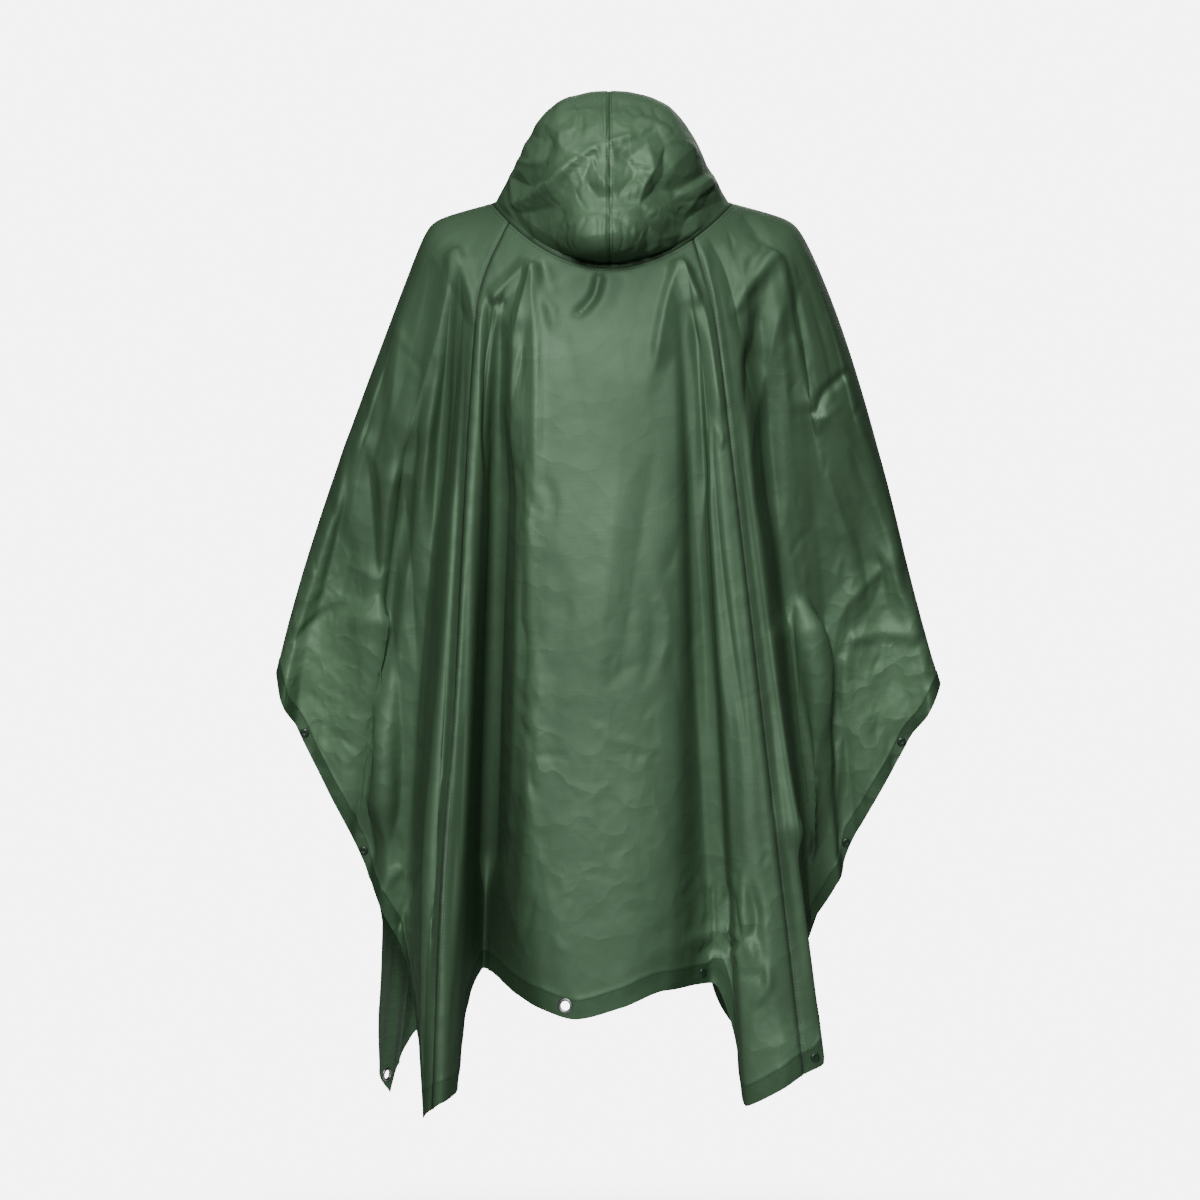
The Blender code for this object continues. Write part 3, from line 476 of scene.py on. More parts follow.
# height_mm, width_mm to the left of a line drawn downwards (above a line drawn to +x), width_mm to
# the other side, share of the line over which it rises, share over which it dies away, its points
BACK_CREASES = (
    # wide and deep: the valleys beside the pipes, the folds beside the cuffs, the left pipe's edge
    (-15, 16.8, 26.4, 0.2, 0.1, ((127, -222), (132, -366), (138, -522), (144, -678), (148, -822))),
    (-8, 16.8, 26.4, 0.15, 0.3, ((-167, -138), (-178, -222), (-187, -306), (-193, -414))),
    (23, 55.2, 14.4, 0.15, 0.15, ((-232, -450), (-248, -534), (-253, -630), (-251, -702), (-241, -786))),
    (21, 74.4, 14.4, 0.12, 0.2, ((280, -450), (268, -546), (263, -654), (268, -762))),
    (-8, 9.6, 14.4, 0.15, 0.4, ((145, -90), (146, -222), (144, -366))),
    # pleats that run out from under the hood, and from the shoulders
    (6, 24, 9.6, 0.05, 0.3, ((-83, -52), (-97, -84), (-110, -116))),
    (5, 9.6, 26.4, 0.05, 0.3, ((-83, -52), (-66, -114), (-52, -198))),
    (5, 9.6, 19.2, 0.05, 0.3, ((90, -56), (104, -102), (114, -150))),
    (4, 16.8, 9.6, 0.05, 0.3, ((90, -56), (76, -90), (59, -150))),
    (4, 19.2, 9.6, 0.08, 0.3, ((184, -37), (167, -90), (162, -138))),
    (6, 14.4, 12, 0.05, 0.3, ((-197, -42), (-176, -71), (-151, -102))),
    (6, 31.2, 14.4, 0.05, 0.1, ((-197, -42), (-212, -102), (-226, -186), (-244, -241))),
    # left sleeve
    (6.5, 25.9, 32.4, 0.1, 0.15, ((186, -30), (194, -102), (215, -186), (239, -258), (252, -290))),
    (6.5, 32.4, 16.2, 0.1, 0.3, ((252, -290), (266, -354), (274, -444), (284, -546), (298, -624))),
    (-6.5, 19.4, 25.9, 0.2, 0.35, ((174, -56), (181, -138), (191, -222), (202, -306), (212, -414))),
    (-5.9, 19.4, 14.6, 0.3, 0.1, ((294, -270), (287, -330), (277, -436))),
    (3.9, 16.2, 22.7, 0.2, 0.4, ((284, -246), (292, -278), (311, -366), (323, -414))),
    (-3.9, 8.1, 14.6, 0.35, 0.1, ((316, -462), (349, -484), (383, -517))),
    (1.5, 11.9, 6.6, 0.35, 0.15, ((308, -452), (344, -469), (380, -500))),
    (-1, 6.6, 6.6, 0.3, 0.3, ((304, -450), (293, -462), (277, -457))),
    (-4.5, 11.3, 19.4, 0.1, 0.4, ((251, -304), (244, -366), (236, -462), (229, -570))),
    (-1.5, 13.2, 10.6, 0.3, 0.2, ((323, -174), (296, -216), (289, -270))),
    (-1.5, 10.6, 10.6, 0.3, 0.3, ((262, -102), (270, -174), (277, -234))),
    (1.3, 10.6, 10.6, 0.3, 0.3, ((248, -124), (258, -198), (263, -246))),
    (-1.2, 15.8, 15.8, 0.3, 0.4, ((227, -36), (241, -102), (256, -156))),
    (-1.5, 13.2, 10.6, 0.3, 0.3, ((344, -318), (330, -366), (323, -404))),
    (1.2, 13.2, 10.6, 0.3, 0.3, ((371, -414), (349, -444), (335, -462))),
    (-1, 7.9, 9.2, 0.3, 0.3, ((359, -544), (317, -536), (284, -544))),
    (-1, 7.9, 6.6, 0.3, 0.3, ((349, -606), (323, -625), (308, -636))),
    (0.9, 7.9, 7.9, 0.3, 0.3, ((344, -570), (317, -588), (301, -616))),
    (-1.1, 6.6, 7.9, 0.3, 0.3, ((380, -582), (366, -608), (344, -624))),
    # left shoulder blade, from the apex under the hood
    (3.9, 13, 9.7, 0.05, 0.4, ((89, -56), (92, -90), (89, -138), (88, -246), (90, -366))),
    (5.9, 14.6, 11.3, 0.12, 0.15, ((91, -54), (119, -80), (145, -107))),
    (-4.5, 8.1, 16.2, 0.15, 0.4, ((83, -56), (77, -84), (68, -114))),
    (-3.2, 9.7, 4.9, 0.15, 0.3, ((146, -107), (136, -106), (121, -102))),
    (-3.9, 8.1, 13, 0.15, 0.3, ((131, -116), (131, -174), (133, -246), (134, -318))),
    (2.9, 9.7, 9.7, 0.25, 0.4, ((116, -102), (114, -174), (116, -258), (115, -342))),
    (-2.1, 8.1, 8.1, 0.3, 0.3, ((102, -150), (112, -210), (121, -258))),
    (1.8, 6.5, 8.1, 0.3, 0.3, ((107, -156), (116, -212), (112, -252))),
    (-5.9, 9.7, 9.7, 0.05, 0.3, ((11, -68), (18, -96), (35, -116), (52, -128))),
    (1.6, 11.5, 17.3, 0.2, 0.4, ((-4, -66), (6, -102), (25, -126))),
    (-1.3, 19.2, 19.2, 0.3, 0.4, ((64, -102), (52, -164), (37, -222), (29, -270))),
    (-1.1, 11.5, 15.4, 0.3, 0.4, ((23, -64), (47, -78), (71, -90))),
    # middle of the back
    (2.1, 30.7, 42.2, 0.3, 0.3, ((-20, -222), (-4, -366), (11, -510), (20, -654), (23, -774), (25, -858))),
    (-1.8, 26.9, 26.9, 0.3, 0.4, ((-61, -246), (-37, -390), (-16, -534), (-4, -630))),
    (1.3, 19.2, 23, 0.3, 0.3, ((52, -306), (64, -414), (73, -510), (73, -582))),
    (-1.2, 19.2, 15.4, 0.3, 0.4, ((68, -390), (56, -462), (52, -522))),
    (-1.4, 19.2, 15.4, 0.3, 0.3, ((-37, -414), (-52, -474), (-49, -534), (-35, -582))),
    (-1, 13.4, 13.4, 0.3, 0.3, ((6, -570), (-20, -544), (-44, -539))),
    (1, 13.4, 13.4, 0.3, 0.3, ((23, -606), (-8, -632), (-37, -630))),
    (-1, 5.8, 5.8, 0.1, 0.2, ((98, -650), (73, -648), (48, -650))),
    (-0.8, 5.8, 5.8, 0.1, 0.2, ((-29, -650), (-47, -648), (-64, -650))),
    (1.3, 23, 15.4, 0.3, 0.3, ((77, -784), (68, -846), (59, -924))),
    (-1.1, 23, 19.2, 0.3, 0.4, ((-13, -702), (-37, -762), (-49, -846))),
    (1.1, 15.4, 19.2, 0.3, 0.3, ((-49, -690), (-64, -738), (-71, -798))),
    (-1, 17.3, 17.3, 0.3, 0.3, ((41, -414), (59, -522), (68, -606), (64, -702))),
    # its crinkled left edge
    (-2.3, 9.7, 13, 0.2, 0.3, ((102, -414), (107, -474), (100, -522), (104, -582))),
    (1.4, 11.5, 11.5, 0.2, 0.2, ((95, -510), (83, -558), (90, -606), (80, -654))),
    (-2.6, 8.1, 9.7, 0.2, 0.2, ((107, -606), (95, -630), (97, -666), (88, -702))),
    (-1.3, 11.5, 9.6, 0.3, 0.3, ((83, -306), (68, -342), (72, -378))),
    (-2.3, 8.1, 11.3, 0.2, 0.3, ((97, -270), (107, -306), (104, -348), (114, -390))),
    (2.9, 13, 13, 0.3, 0.3, ((131, -750), (121, -810), (109, -858), (95, -900))),
    (-2.1, 9.7, 9.7, 0.3, 0.3, ((88, -810), (100, -858), (107, -896))),
    (1, 11.5, 11.5, 0.3, 0.3, ((73, -858), (83, -894), (64, -924))),
    # right shoulder blade
    (2, 26.9, 23, 0.06, 0.4, ((-82, -54), (-66, -102), (-52, -162), (-42, -246))),
    (4.5, 16.2, 11.3, 0.06, 0.2, ((-85, -53), (-102, -90), (-116, -124), (-128, -198), (-136, -258))),
    (-3.9, 13, 11.3, 0.2, 0.4, ((-95, -102), (-109, -162), (-116, -222), (-116, -306), (-109, -414))),
    (-3.2, 13, 13, 0.15, 0.3, ((-116, -25), (-136, -56), (-150, -102), (-162, -162))),
    (-2.6, 16.2, 13, 0.2, 0.3, ((-157, 4), (-179, -25), (-184, -56))),
    (2.6, 13, 13, 0.2, 0.3, ((-186, -25), (-176, -42), (-162, -56), (-160, -88))),
    (4.2, 14.6, 13, 0.1, 0.25, ((-204, -44), (-184, -71), (-162, -97), (-148, -124))),
    (4.5, 19.4, 19.4, 0.08, 0.35, ((-206, -44), (-208, -90), (-193, -162), (-178, -246), (-167, -306))),
    (-3.9, 14.6, 19.4, 0.2, 0.3, ((-178, -102), (-174, -174), (-162, -246))),
    (-1.3, 15.8, 13.2, 0.3, 0.3, ((-217, -42), (-241, -102), (-260, -162))),
    # right sleeve
    (5.9, 25.9, 22.7, 0.15, 0.2,
     ((-220, -246), (-246, -242), (-272, -251), (-304, -306), (-331, -378), (-349, -444))),
    (3.9, 22.7, 16.2, 0.2, 0.1, ((-217, -138), (-236, -198), (-246, -240))),
    (-4.5, 8.1, 9.7, 0.08, 0.2, ((-246, -242), (-256, -217), (-275, -198), (-289, -184))),
    (1.3, 5.3, 5.3, 0.15, 0.3, ((-253, -248), (-268, -234), (-284, -227))),
    (-1, 5.3, 6.6, 0.2, 0.3, ((-251, -270), (-260, -294), (-258, -318))),
    (-1, 5.3, 5.3, 0.2, 0.3, ((-289, -246), (-299, -234), (-304, -222))),
    (-4.2, 11.3, 16.2, 0.25, 0.2, ((-284, -270), (-320, -354), (-342, -420))),
    (1.3, 15.8, 15.8, 0.3, 0.4, ((-196, -318), (-212, -390), (-229, -462))),
    (-1.2, 11.9, 11.9, 0.3, 0.3, ((-229, -294), (-244, -342), (-241, -390), (-229, -414))),
    (-1, 7.9, 7.9, 0.3, 0.3, ((-215, -414), (-229, -390), (-244, -378))),
    (0.8, 6.6, 6.6, 0.3, 0.3, ((-244, -414), (-234, -428), (-236, -450))),
    (4.5, 19.4, 13, 0.08, 0.3,
     ((-334, -419), (-306, -443), (-289, -462), (-275, -488), (-268, -524), (-265, -582))),
    (-1.5, 10.6, 10.6, 0.1, 0.3, ((-334, -419), (-342, -452), (-356, -476), (-370, -496))),
    (-1.6, 9.2, 11.9, 0.12, 0.12, ((-330, -428), (-318, -462), (-301, -488), (-287, -510))),
    (4.7, 14.6, 11.3, 0.08, 0.15, ((-286, -511), (-313, -503), (-342, -500), (-379, -506))),
    (-1.2, 6.6, 6.6, 0.1, 0.2, ((-289, -520), (-318, -516), (-349, -515), (-378, -522))),
    (4.2, 13, 13, 0.1, 0.3, ((-284, -516), (-281, -582), (-275, -654), (-272, -726))),
    (-5.2, 11.3, 9.7, 0.15, 0.3, ((-263, -510), (-260, -582), (-256, -666), (-260, -738))),
    (1.2, 7.9, 6.6, 0.2, 0.3, ((-344, -462), (-364, -469), (-373, -481))),
    (-1, 7.9, 6.6, 0.3, 0.3, ((-355, -534), (-353, -570), (-364, -604))),
    (1, 6.6, 6.6, 0.3, 0.3, ((-364, -528), (-368, -582), (-380, -589))),
    (-1.1, 6.6, 5.3, 0.3, 0.3, ((-380, -510), (-385, -540), (-380, -570))),
    (-0.9, 9.2, 7.9, 0.3, 0.3, ((-313, -570), (-325, -596), (-330, -618))),
    (1, 7.9, 7.9, 0.3, 0.3, ((-292, -608), (-316, -601), (-340, -596))),
    (-1.1, 6.6, 5.3, 0.2, 0.2, ((-349, -584), (-368, -580), (-385, -584))),
    (-1.1, 6.6, 6.6, 0.2, 0.2, ((-311, -624), (-330, -613), (-356, -620))),
    (-0.9, 9.2, 7.9, 0.3, 0.3, ((-289, -666), (-304, -702), (-299, -750))),
    (-0.7, 7.9, 7.9, 0.3, 0.3, ((-304, -570), (-289, -582), (-284, -608))),
    (-1, 10.6, 10.6, 0.3, 0.3, ((-229, -582), (-244, -630), (-248, -702))),
    (-0.8, 6.6, 6.6, 0.3, 0.3, ((-203, -534), (-210, -510), (-217, -486))),
    (-1, 5.3, 6.6, 0.3, 0.3, ((-200, -510), (-220, -476), (-229, -462))),
    (-1.2, 11.9, 15.8, 0.3, 0.3, ((-268, -102), (-292, -186), (-318, -282), (-344, -378), (-366, -450))),
    # right pipe and the folds beside it
    (2.1, 6.5, 8.1, 0.1, 0.3, ((-107, -32), (-116, -56), (-126, -102), (-138, -186), (-148, -258))),
    (2.1, 11.3, 11.3, 0.3, 0.3, ((-114, -270), (-121, -414), (-136, -558), (-152, -656))),
    (-2.9, 8.1, 8.1, 0.15, 0.3, ((-124, -246), (-128, -342), (-140, -462), (-157, -582), (-172, -690))),
    (2.3, 6.5, 6.5, 0.2, 0.2, ((-126, -256), (-136, -265), (-133, -280))),
    (-2.3, 13, 13, 0.3, 0.3, ((-97, -246), (-104, -366), (-114, -510), (-119, -654))),
    (-1.4, 19.2, 15.4, 0.3, 0.3, ((-71, -510), (-85, -582), (-97, -654))),
    (-1.1, 11.5, 13.4, 0.3, 0.3, ((-61, -438), (-76, -414), (-90, -366))),
    (1, 9.6, 11.5, 0.3, 0.3, ((-49, -474), (-66, -462), (-71, -510), (-56, -558))),
    # lower right, where folds meet
    (-4.5, 9.7, 13, 0.05, 0.35, ((-162, -870), (-140, -877), (-116, -882), (-97, -889))),
    (3.2, 13, 9.7, 0.05, 0.35, ((-162, -870), (-138, -863), (-109, -865), (-80, -880))),
    (-5.2, 9.7, 9.7, 0.05, 0.35, ((-162, -870), (-152, -848), (-145, -822), (-140, -798))),
    (3.6, 9.7, 9.7, 0.05, 0.4, ((-162, -870), (-160, -846), (-162, -810), (-157, -774))),
    (-3.4, 8.1, 8.1, 0.05, 0.3, ((-162, -870), (-174, -858), (-178, -840), (-172, -810))),
    (3.1, 8.1, 9.7, 0.05, 0.3, ((-162, -875), (-152, -889), (-143, -901), (-128, -908))),
    (3.6, 11.3, 9.7, 0.08, 0.2, ((-162, -875), (-178, -892), (-191, -913), (-188, -930), (-167, -954))),
    (-2.1, 8.1, 8.1, 0.1, 0.2, ((-162, -875), (-157, -894), (-140, -901))),
    (-2, 8.1, 8.1, 0.2, 0.2, ((-136, -896), (-152, -908), (-172, -912), (-191, -908))),
    (-2.9, 4.9, 8.1, 0.15, 0.15, ((-124, -798), (-126, -846), (-124, -882))),
    (2.1, 6.5, 6.5, 0.3, 0.3, ((-128, -804), (-131, -840), (-133, -870))),
    (-2.1, 6.5, 6.5, 0.2, 0.3, ((-143, -810), (-136, -828), (-126, -832))),
    (2, 9.7, 9.7, 0.3, 0.3, ((-104, -786), (-112, -822), (-109, -858))),
    (1.6, 19.2, 23, 0.3, 0.3, ((-37, -892), (-71, -882), (-104, -875), (-124, -870))),
    (-1, 15.4, 15.4, 0.3, 0.3, ((-13, -942), (-49, -924), (-71, -912))),
    (1.3, 7.9, 11.9, 0.2, 0.2, ((-191, -930), (-196, -966), (-212, -996), (-229, -1012))),
    (-1.1, 6.6, 7.9, 0.2, 0.2, ((-169, -942), (-191, -954), (-205, -997))),
    (1.6, 13, 13, 0.3, 0.3, ((-178, -942), (-172, -990), (-167, -1038))),
    (-3.6, 9.7, 11.3, 0.3, 0.3, ((-157, -776), (-172, -828), (-181, -894), (-186, -942))),
    (-0.9, 5.3, 5.3, 0.1, 0.2, ((-226, -1004), (-229, -990), (-244, -988))),
    (0.8, 5.3, 5.3, 0.1, 0.2, ((-236, -1000), (-232, -985), (-227, -976))),
    (-0.8, 5.3, 5.3, 0.1, 0.2, ((-227, -1016), (-217, -1012), (-210, -1014))),
    (0.7, 4, 5.3, 0.1, 0.2, ((-248, -997), (-253, -990), (-251, -978))),
    (-0.8, 5.3, 6.6, 0.2, 0.2, ((-181, -1019), (-205, -1009), (-229, -1012))),
    # left pipe
    (-1.3, 6.5, 6.5, 0.3, 0.3, ((175, -102), (176, -246), (181, -414), (186, -582), (193, -750))),
    (1.6, 6.5, 6.5, 0.3, 0.3, ((191, -654), (196, -774), (198, -894), (202, -1014))),
    (-1.3, 6.5, 6.5, 0.3, 0.3, ((181, -894), (188, -954), (193, -1014))),
    (-1.6, 8.1, 8.1, 0.3, 0.3, ((210, -798), (215, -894), (217, -990))),
    (-1.3, 4.9, 4.9, 0.3, 0.3, ((172, -582), (176, -690), (181, -798))),
    (-1.6, 4.9, 4.9, 0.3, 0.3, ((167, -762), (170, -798), (173, -828))),
    # lower left edge
    (3.9, 9.7, 9.7, 0.1, 0.3, ((246, -784), (265, -798), (277, -822))),
    (-4.5, 8.1, 8.1, 0.1, 0.2, ((222, -781), (236, -810), (246, -836), (256, -864))),
    (-0.9, 5.3, 6.6, 0.2, 0.3, ((229, -784), (246, -786), (260, -803))),
    (1.1, 5.3, 5.3, 0.1, 0.2, ((246, -833), (239, -858), (246, -880), (234, -896), (227, -908))),
    (-1.1, 4, 5.3, 0.1, 0.2, ((241, -846), (232, -863), (236, -882), (224, -894))),
    (-0.7, 5.3, 5.3, 0.2, 0.3, ((265, -894), (246, -896), (232, -888))),
    (0.7, 5.3, 5.3, 0.2, 0.3, ((268, -912), (251, -924), (236, -916))),
    (-0.7, 5.3, 5.3, 0.2, 0.3, ((260, -954), (248, -942), (239, -944))),
    (0.7, 5.3, 5.3, 0.2, 0.3, ((256, -978), (246, -966), (236, -964))),
    (-0.7, 4, 4, 0.2, 0.3, ((270, -1004), (260, -1000), (253, -1002))),
)
HOOD_CREASES = (
    # the pinch, and what radiates from it
    (2.8, 9.7, 8.6, 0.1, 0.25, ((4, 80), (-8, 85), (-20, 89), (-34, 92))),
    (-1.7, 5.4, 4.3, 0.1, 0.25, ((-1, 79), (-18, 83), (-32, 88))),
    (-3.3, 7.6, 7.6, 0.1, 0.25, ((-5, 76), (-23, 62), (-42, 52), (-61, 35), (-76, 22))),
    (1.9, 9.7, 9.7, 0.2, 0.2, ((-4, 80), (-28, 78), (-47, 71), (-52, 53))),
    (1.7, 8.6, 8.6, 0.2, 0.2, ((-19, 52), (-35, 59), (-42, 42), (-37, 34))),
    (3.6, 6.5, 11.9, 0.1, 0.2, ((8, 79), (20, 74), (35, 64), (48, 56), (66, 37), (83, 25))),
    (-2.8, 5.4, 5.4, 0.1, 0.3, ((11, 73), (28, 61), (42, 49), (52, 35), (68, 14))),
    (-3, 7.6, 6.5, 0.15, 0.3, ((71, 68), (82, 52), (95, 32), (102, 13))),
    (1.7, 6.5, 6.5, 0.2, 0.3, ((73, 68), (88, 61), (107, 64), (121, 66))),
    (1.9, 5.4, 6.5, 0.2, 0.25, ((116, 54), (114, 30), (112, 13), (107, 4))),
    (-1.7, 4.3, 4.3, 0.2, 0.3, ((85, 25), (90, 18), (97, 11))),
    # zigzag at the upper left
    (2, 8.6, 5.4, 0.12, 0.12, ((47, 138), (41, 124), (44, 104), (58, 97), (56, 80), (43, 74))),
    (-1.4, 7.6, 7.6, 0.2, 0.3, ((64, 138), (71, 116), (78, 100), (83, 83))),
    (1.1, 7.6, 7.6, 0.2, 0.3, ((85, 124), (95, 102), (102, 80), (109, 68))),
    (-1.1, 5.4, 4.3, 0.2, 0.2, ((73, 97), (68, 83), (73, 71))),
    (0.9, 7.6, 7.6, 0.2, 0.3, ((23, 143), (28, 124), (25, 102), (30, 83))),
    (-0.8, 5.4, 5.4, 0.2, 0.3, ((36, 133), (32, 109), (37, 90))),
    # puckers of the middle seam
    (-1.2, 2.4, 2.4, 0.02, 0.1, ((12, 145), (11, 124), (8, 102), (6, 83))),
    (-1.2, 2.4, 2.4, 0.02, 0.1, ((0, 145), (0, 124), (1, 102), (4, 83))),
    (0.8, 3.2, 3.2, 0.02, 0.1, ((6, 145), (5, 114), (5, 83))),
    (-0.8, 2.7, 2.7, 0.05, 0.4, ((20, 145), (22, 133), (19, 124))),
    (-0.8, 2.7, 2.7, 0.05, 0.4, ((-11, 145), (-12, 131), (-17, 114))),
    (0.9, 4.3, 4.3, 0.2, 0.2, ((-4, 116), (-13, 104), (-28, 100))),
    # upper right
    (2.3, 9.7, 8.6, 0.12, 0.2, ((-30, 118), (-49, 113), (-66, 102), (-76, 92))),
    (-1.2, 5.4, 5.4, 0.2, 0.2, ((-37, 92), (-47, 98), (-56, 104))),
    (-1.8, 6.5, 6.5, 0.15, 0.2, ((-52, 133), (-61, 116), (-71, 107), (-80, 92))),
    (-1.1, 6.5, 6.5, 0.2, 0.3, ((-37, 138), (-44, 126), (-40, 119))),
    (-1, 5.4, 5.4, 0.2, 0.3, ((-20, 133), (-28, 124), (-37, 114))),
    (1.1, 6.5, 6.5, 0.2, 0.3, ((-88, 88), (-100, 76), (-109, 66))),
    (-1.7, 8.6, 8.6, 0.2, 0.3, ((-64, 78), (-66, 64), (-76, 52))),
    (-0.9, 4.3, 4.3, 0.2, 0.3, ((-97, 90), (-104, 78), (-102, 68))),
    (3.3, 11.9, 9.7, 0.15, 0.15, ((-78, 23), (-97, 30), (-114, 40), (-126, 47))),
    (-1.7, 6.5, 6.5, 0.2, 0.2, ((-80, 16), (-97, 18), (-114, 25), (-128, 30))),
    (-2.2, 7.6, 6.5, 0.2, 0.3, ((-85, 11), (-95, -1), (-102, -6))),
    (1.4, 7.6, 6.5, 0.2, 0.3, ((-109, 18), (-114, 4), (-124, -1))),
    (-1.2, 6.5, 6.5, 0.2, 0.2, ((-71, 42), (-80, 28), (-88, 13))),
    # gathers down the middle
    (1.1, 3.2, 3.2, 0.2, 0.2, ((25, 66), (18, 56), (23, 44))),
    (-1.2, 3.2, 3.2, 0.2, 0.2, ((16, 68), (13, 54), (8, 42))),
    (1.1, 3.2, 3.2, 0.2, 0.2, ((6, 68), (2, 56), (6, 44))),
    (1.2, 2.7, 2.7, 0.2, 0.2, ((18, 47), (11, 41), (16, 32))),
    (-1.2, 2.7, 2.7, 0.2, 0.2, ((8, 44), (1, 37), (6, 28))),
    (-1.1, 3.2, 3.2, 0.2, 0.2, ((25, 40), (20, 30), (11, 25))),
    (-1.3, 3.2, 4.3, 0.2, 0.2, ((1, 32), (-2, 23), (-6, 16))),
    (0.9, 4.3, 4.3, 0.2, 0.2, ((37, 52), (32, 40), (37, 28))),
    (1, 4.3, 4.3, 0.2, 0.2, ((40, 23), (28, 20), (20, 13))),
    (-1.2, 3.2, 4.3, 0.2, 0.2, ((42, 32), (32, 13), (23, 8))),
    # the step under the pinch
    (2.5, 15.1, 10.8, 0.2, 0.15, ((16, 32), (-4, 34), (-25, 35), (-40, 35))),
    (-1.7, 7.6, 8.6, 0.2, 0.2, ((11, 11), (-11, 13), (-32, 18), (-49, 23))),
    (1.9, 9.7, 8.6, 0.15, 0.2, ((6, 1), (-18, 7), (-44, 8), (-59, -1))),
    (-1.1, 4.3, 4.3, 0.2, 0.2, ((-37, 13), (-44, 4), (-52, 11))),
    (-1, 4.3, 4.3, 0.2, 0.2, ((-49, -8), (-56, 1), (-66, -6))),
    # the pouch over the nape
    (-2.5, 4.3, 5.4, 0.12, 0.12, ((52, -8), (42, -4), (32, 1), (20, 2), (6, 1), (-11, -5), (-23, -16))),
    (1.4, 6.5, 5.4, 0.15, 0.15, ((52, -18), (40, -8), (23, -5), (4, -8), (-13, -18))),
    (-1.2, 3.2, 3.2, 0.1, 0.2, ((38, -11), (41, -28), (37, -42))),
    (-1.1, 2.7, 3.2, 0.1, 0.3, ((25, -2), (30, -16), (35, -28))),
    (-0.7, 3.2, 3.2, 0.1, 0.3, ((16, -4), (14, -18), (17, -35))),
    (0.7, 3.2, 3.2, 0.1, 0.3, ((5, -5), (6, -20), (4, -37))),
    (-1.3, 1.9, 1.9, 0.15, 0.15, ((-4, -17), (-5, -30), (-5, -42))),
    (-0.9, 3.2, 3.2, 0.15, 0.2, ((-13, -13), (-16, -28), (-11, -42))),
    (-1.3, 3.2, 3.2, 0.15, 0.2, ((-23, -16), (-25, -28), (-32, -35))),
    (-1.1, 3.2, 3.2, 0.15, 0.2, ((-30, -11), (-37, -20), (-32, -28))),
    (1, 2.7, 2.7, 0.15, 0.2, ((-20, -20), (-28, -25), (-30, -13))),
    (1.7, 4.3, 5.4, 0.15, 0.2, ((55, -8), (58, -28), (52, -44))),
    (-1.4, 3.2, 3.2, 0.15, 0.2, ((49, -8), (48, -30), (43, -42))),
    (-1.9, 3.8, 5.4, 0.1, 0.1, ((37, -43), (23, -48), (8, -48), (-8, -47), (-23, -42), (-32, -35))),
    (1.4, 3.2, 4.3, 0.1, 0.1, ((42, -37), (32, -43), (13, -44), (-8, -43), (-25, -37))),
    (1.1, 4.3, 4.3, 0.15, 0.15, ((64, -37), (44, -49), (23, -56), (6, -58), (-16, -56), (-42, -47))),
    # lower right
    (2.2, 9.7, 9.7, 0.15, 0.15, ((-49, -28), (-66, -25), (-85, -23), (-104, -28))),
    (-1.2, 4.3, 5.4, 0.2, 0.2, ((-56, -42), (-80, -37), (-102, -30))),
    (-1.7, 4.3, 5.4, 0.2, 0.2, ((-40, -20), (-47, -32), (-44, -42))),
    (-1, 4.3, 4.3, 0.2, 0.2, ((-64, -18), (-59, -30), (-64, -37))),
    (1.1, 4.3, 4.3, 0.2, 0.2, ((-102, -13), (-107, -25), (-104, -32))),
    # lower left
    (1.1, 4.3, 5.4, 0.2, 0.3, ((95, 4), (90, -13), (92, -25))),
    (-1.7, 6.5, 6.5, 0.2, 0.3, ((59, 11), (59, -11), (66, -30))),
    (-1.7, 7.6, 8.6, 0.2, 0.3, ((116, 11), (107, -11), (90, -28))),
    (1, 6.5, 6.5, 0.2, 0.3, ((128, 32), (121, 11), (112, -8))),
)
